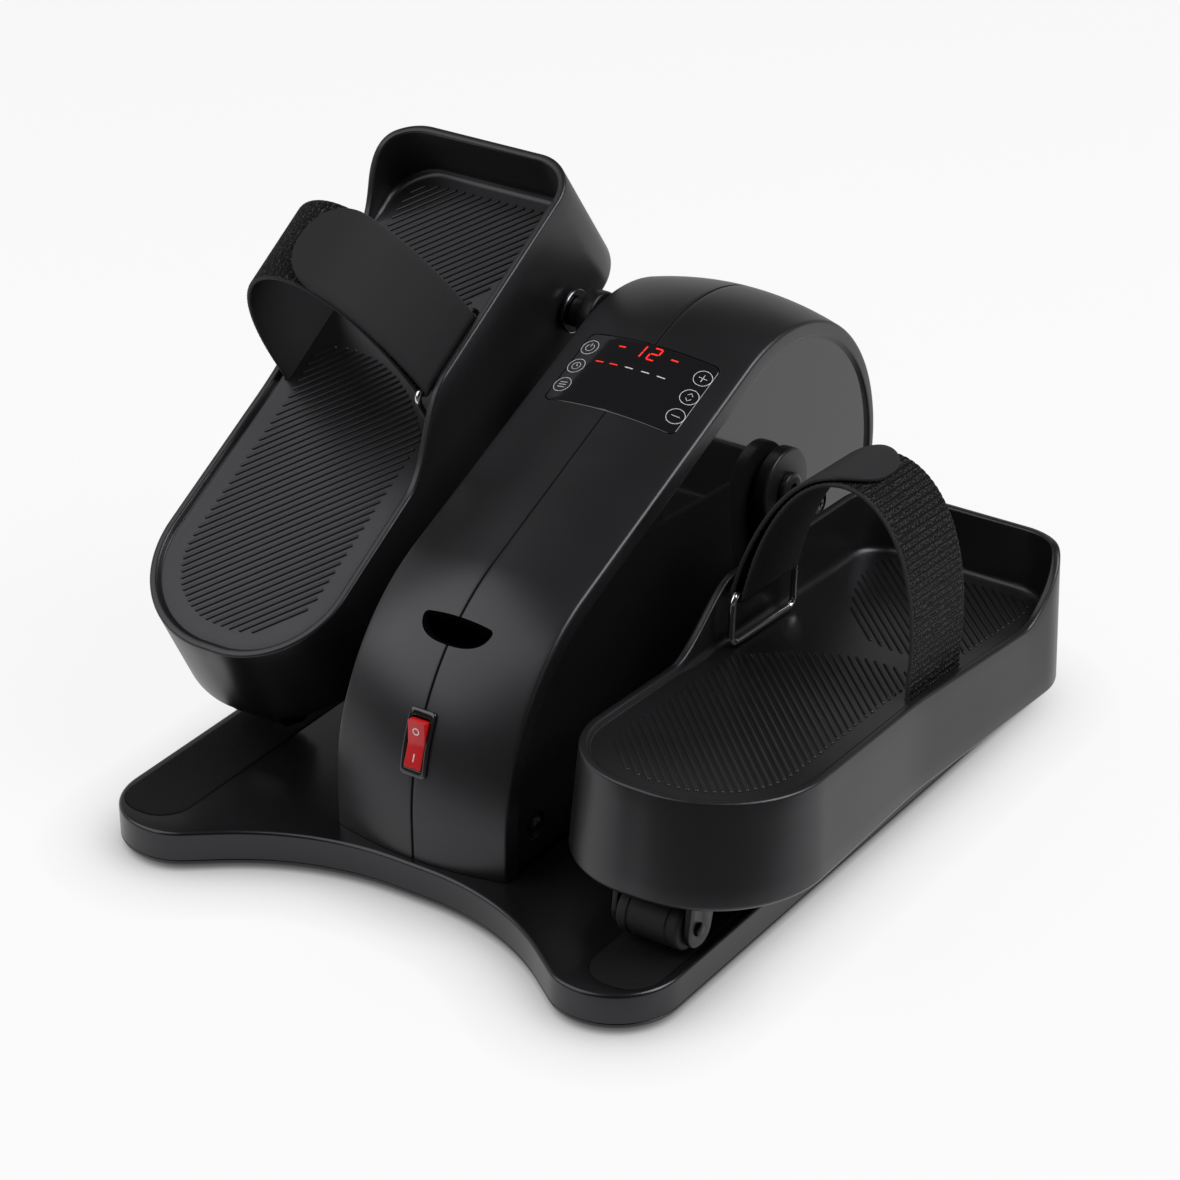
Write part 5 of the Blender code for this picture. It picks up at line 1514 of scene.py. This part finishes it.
def dress_inside():
    finishes = {
        "control_board": circuit_board,
        "display_module": panel_gloss,
        "frame_upright_left": zinc_steel,
        "frame_upright_right": zinc_steel,
        "axle_bearing_left": zinc_steel,
        "axle_bearing_right": zinc_steel,
        "drive_motor": black_steel,
        "motor_pulley": black_steel,
        "driven_pulley": black_steel,
        "drive_belt": rubber,
        "crank_axle": zinc_steel,
    }
    for name, finish in finishes.items():
        made = frame["nodes"][name]
        made.data.materials.clear()
        made.data.materials.append(finish())
        slot_of(finish())


# Stage

EYE = Vector((0.97148, -1.42932, 1.03842))
TARGET = Vector((-0.10106, 0.14916, 0.00091))
ROLL = math.radians(-0.549)
LENS = 121.18
SENSOR_WIDTH = 36.0
CLIP_END = 50.0
FLOOR_SIZE = 14.0
FLOOR_COLOUR = 0.80
FLOOR_SHADOW = 0.10  # share of the floor's look that comes from the light on it
FLOOR_WHITE = 0.965
FLOOR_FRONT = 0.12  # how much of that gloss sees on the camera's side of the object
FLOOR_BEHIND = 0.5  # and far behind it
CAMERA_SIDE = (0.56, -0.83, 0.0)
FRONT_FADE = (0.25, 0.36)  # where the floor grows dim in gloss, along that axis
BEHIND_FADE = (-1.2, -0.4)
CONTACT_SHADOW_REACH = 0.045
SURROUND_LOW, SURROUND_HIGH, SURROUND_FRONT = 0.50, 0.07, 0.18
SURROUND_TILT = 0.30  # how much higher the pale part stands on the left
SURROUND_FADE = (0.20, 0.48)  # from the pale part up to the dim part
FRONT_DIM = (-0.75, 0.1)  # from the dim front to the pale rear
LAMPS = (  # name, place, size and watts
    ("softbox_right", (1.35, 0.55, 1.75), 1.5, 44.0),
    ("softbox_left", (-0.92, -0.95, 1.40), 1.9, 21.5),
)
LAMP_AIM = Vector((0, 0, 0.1))


def add_camera():
    ahead = (TARGET - EYE).normalized()
    right = ahead.cross(Vector((0, 0, 1))).normalized()
    above = right.cross(ahead)
    right, above = (
        math.cos(ROLL) * right + math.sin(ROLL) * above,
        math.cos(ROLL) * above - math.sin(ROLL) * right,
    )
    data = bpy.data.cameras.new("camera")
    data.lens = LENS
    data.sensor_width = SENSOR_WIDTH
    data.clip_end = CLIP_END
    camera = bpy.data.objects.new("camera", data)
    turn = Matrix((right, above, -ahead)).transposed().to_4x4()
    camera.matrix_world = Matrix.Translation(EYE) @ turn
    bpy.context.scene.collection.objects.link(camera)
    bpy.context.scene.camera = camera


def add_lamps():
    """Soft square lamps, each turned to shine at the middle of the object."""
    for name, place, size, power in LAMPS:
        data = bpy.data.lights.new(name, "AREA")
        data.shape = "RECTANGLE"
        data.size = data.size_y = size
        data.energy = power
        lamp = bpy.data.objects.new(name, data)
        lamp.location = place
        lamp.rotation_euler = (LAMP_AIM - Vector(place)).to_track_quat("-Z", "Y").to_euler()
        bpy.context.scene.collection.objects.link(lamp)


def add_floor():
    """A flat pale floor. The camera sees it part plain white with a painted contact shadow near the object, and
    part lit.
    """
    half = FLOOR_SIZE / 2
    mesh = bpy.data.meshes.new("floor")
    corners = [(x * half, y * half, 0) for x, y in ((-1, -1), (1, -1), (1, 1), (-1, 1))]
    mesh.from_pydata(corners, [], [(0, 1, 2, 3)])
    floor = bpy.data.objects.new("floor", mesh)
    bpy.context.scene.collection.objects.link(floor)
    made, tree, shader = new_finish("floor_paper")
    shader.inputs["Roughness"].default_value = 0.9
    shader.inputs["Specular IOR Level"].default_value = 0.0
    path = tree.nodes.new("ShaderNodeLightPath").outputs
    seen = maths(tree, "MAXIMUM", path["Is Camera Ray"], path["Is Glossy Ray"])
    seen = maths(tree, "MAXIMUM", seen, path["Is Transmission Ray"])
    lit = FLOOR_COLOUR * FLOOR_SHADOW
    tree.links.new(ramp(tree, seen, To_Min=FLOOR_COLOUR, To_Max=lit), shader.inputs["Base Color"])
    # painted contact shadow: ambient occlusion darkens the floor's white glow near the object, while the lit share
    # keeps a real shadow
    near = node(tree, "ShaderNodeAmbientOcclusion", Distance=CONTACT_SHADOW_REACH)
    near.samples = 16
    glow = maths(tree, "MULTIPLY", near.outputs["AO"], ramp(tree, seen, To_Min=0.0, To_Max=FLOOR_WHITE - lit))
    towards = along_axis(tree, "Object", CAMERA_SIDE)
    start, end = FRONT_FADE
    front = ramp(tree, towards, From_Min=start, From_Max=end, To_Min=1.0, To_Max=FLOOR_FRONT)
    start, end = BEHIND_FADE
    behind = ramp(tree, towards, From_Min=start, From_Max=end, To_Min=FLOOR_BEHIND)
    shown = maths(tree, "MAXIMUM", path["Is Camera Ray"], maths(tree, "MULTIPLY", front, behind))
    shader.inputs["Emission Color"].default_value = (1, 1, 1, 1)
    tree.links.new(maths(tree, "MULTIPLY", glow, shown), shader.inputs["Emission Strength"])
    mesh.materials.append(made)


def add_world():
    """A studio: pale near the horizon behind the object, dim overhead and in front."""
    world = bpy.context.scene.world or bpy.data.worlds.new("surround")
    bpy.context.scene.world = world
    world.use_nodes = True
    tree = world.node_tree
    ground = tree.nodes["Background"]
    ground.inputs["Color"].default_value = (1, 1, 1, 1)
    up = along_axis(tree, "Generated", (SURROUND_TILT, 0.0, 1.0))
    start, end = SURROUND_FADE
    high = ramp(tree, up, True, From_Min=start, From_Max=end, To_Min=SURROUND_LOW, To_Max=SURROUND_HIGH)
    rear = along_axis(tree, "Generated", (0.0, 1.0, 0.0))
    start, end = FRONT_DIM
    front = ramp(tree, rear, True, From_Min=start, From_Max=end, To_Min=SURROUND_FRONT, To_Max=1.0)
    tree.links.new(maths(tree, "MULTIPLY", high, front), ground.inputs["Strength"])


def build_stage():
    bpy.context.scene.view_settings.view_transform = "Standard"
    add_camera()
    add_floor()
    add_world()
    add_lamps()


class EXERCISER_OT_base(bpy.types.Operator):
    """Build the floor plate, its roller tracks and the pads under it"""

    bl_idname = "exerciser.base"
    bl_label = "Base"

    def execute(self, context):
        build_base()
        return {"FINISHED"}


class EXERCISER_OT_fairing(bpy.types.Operator):
    """Build the two halves of the fairing and the screws in its side"""

    bl_idname = "exerciser.fairing"
    bl_label = "Fairing"

    def execute(self, context):
        build_fairing()
        build_screws()
        return {"FINISHED"}


class EXERCISER_OT_panel(bpy.types.Operator):
    """Build the touch panel with its printed and lit marks"""

    bl_idname = "exerciser.panel"
    bl_label = "Panel"

    def execute(self, context):
        build_panel()
        return {"FINISHED"}


class EXERCISER_OT_sockets(bpy.types.Operator):
    """Build the hand recess and the power socket"""

    bl_idname = "exerciser.sockets"
    bl_label = "Recess and socket"

    def execute(self, context):
        build_recess()
        build_inlet()
        return {"FINISHED"}


class EXERCISER_OT_switch(bpy.types.Operator):
    """Build the rocker switch and its frame"""

    bl_idname = "exerciser.switch"
    bl_label = "Switch"

    def execute(self, context):
        build_switch()
        return {"FINISHED"}


class EXERCISER_OT_cranks(bpy.types.Operator):
    """Build the crank arms with their bolts, pins, washers and nuts"""

    bl_idname = "exerciser.cranks"
    bl_label = "Cranks"

    def execute(self, context):
        build_cranks()
        return {"FINISHED"}


class EXERCISER_OT_foot_plates(bpy.types.Operator):
    """Build the foot plates with their ribs and bushes"""

    bl_idname = "exerciser.foot_plates"
    bl_label = "Foot plates"

    def execute(self, context):
        build_foot_plates()
        return {"FINISHED"}


class EXERCISER_OT_rollers(bpy.types.Operator):
    """Build the heel rollers in their forks"""

    bl_idname = "exerciser.rollers"
    bl_label = "Heel rollers"

    def execute(self, context):
        build_rollers()
        return {"FINISHED"}


class EXERCISER_OT_straps(bpy.types.Operator):
    """Build the foot straps and their wire loops"""

    bl_idname = "exerciser.straps"
    bl_label = "Straps"

    def execute(self, context):
        build_straps()
        return {"FINISHED"}


class EXERCISER_OT_inside(bpy.types.Operator):
    """Give the pieces inside the fairing their finishes"""

    bl_idname = "exerciser.inside"
    bl_label = "Inside"

    def execute(self, context):
        dress_inside()
        return {"FINISHED"}


class EXERCISER_OT_stage(bpy.types.Operator):
    """Set up the floor, the light and the camera"""

    bl_idname = "exerciser.stage"
    bl_label = "Stage"

    def execute(self, context):
        build_stage()
        return {"FINISHED"}


OPERATORS = (
    EXERCISER_OT_base,
    EXERCISER_OT_fairing,
    EXERCISER_OT_panel,
    EXERCISER_OT_sockets,
    EXERCISER_OT_switch,
    EXERCISER_OT_cranks,
    EXERCISER_OT_foot_plates,
    EXERCISER_OT_rollers,
    EXERCISER_OT_straps,
    EXERCISER_OT_inside,
    EXERCISER_OT_stage,
)


class EXERCISER_PT_pieces(bpy.types.Panel):
    """Lists the operators that build the exerciser"""

    bl_idname = "EXERCISER_PT_pieces"
    bl_label = "Pedal exerciser"
    bl_space_type = "VIEW_3D"
    bl_region_type = "UI"
    bl_category = "Exerciser"

    def draw(self, context):
        for name in ExerciserLook.__annotations__:
            self.layout.prop(context.scene.exerciser, name)
        for operator in OPERATORS:
            self.layout.operator(operator.bl_idname)


CLASSES = (ExerciserLook, *OPERATORS, EXERCISER_PT_pieces)


def register():
    for kind in CLASSES:
        bpy.utils.register_class(kind)
    bpy.types.Scene.exerciser = PointerProperty(type=ExerciserLook)


def unregister():
    del bpy.types.Scene.exerciser
    for kind in reversed(CLASSES):
        bpy.utils.unregister_class(kind)


def main():
    for name in ("Cube", "Light", "Camera"):
        if name in bpy.data.objects:
            bpy.data.objects.remove(bpy.data.objects[name])
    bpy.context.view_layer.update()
    register()
    bpy.ops.exerciser.base()
    bpy.ops.exerciser.fairing()
    bpy.ops.exerciser.panel()
    bpy.ops.exerciser.sockets()
    bpy.ops.exerciser.switch()
    bpy.ops.exerciser.cranks()
    bpy.ops.exerciser.foot_plates()
    bpy.ops.exerciser.rollers()
    bpy.ops.exerciser.straps()
    bpy.ops.exerciser.inside()
    bpy.ops.exerciser.stage()


if __name__ == "__main__":
    main()
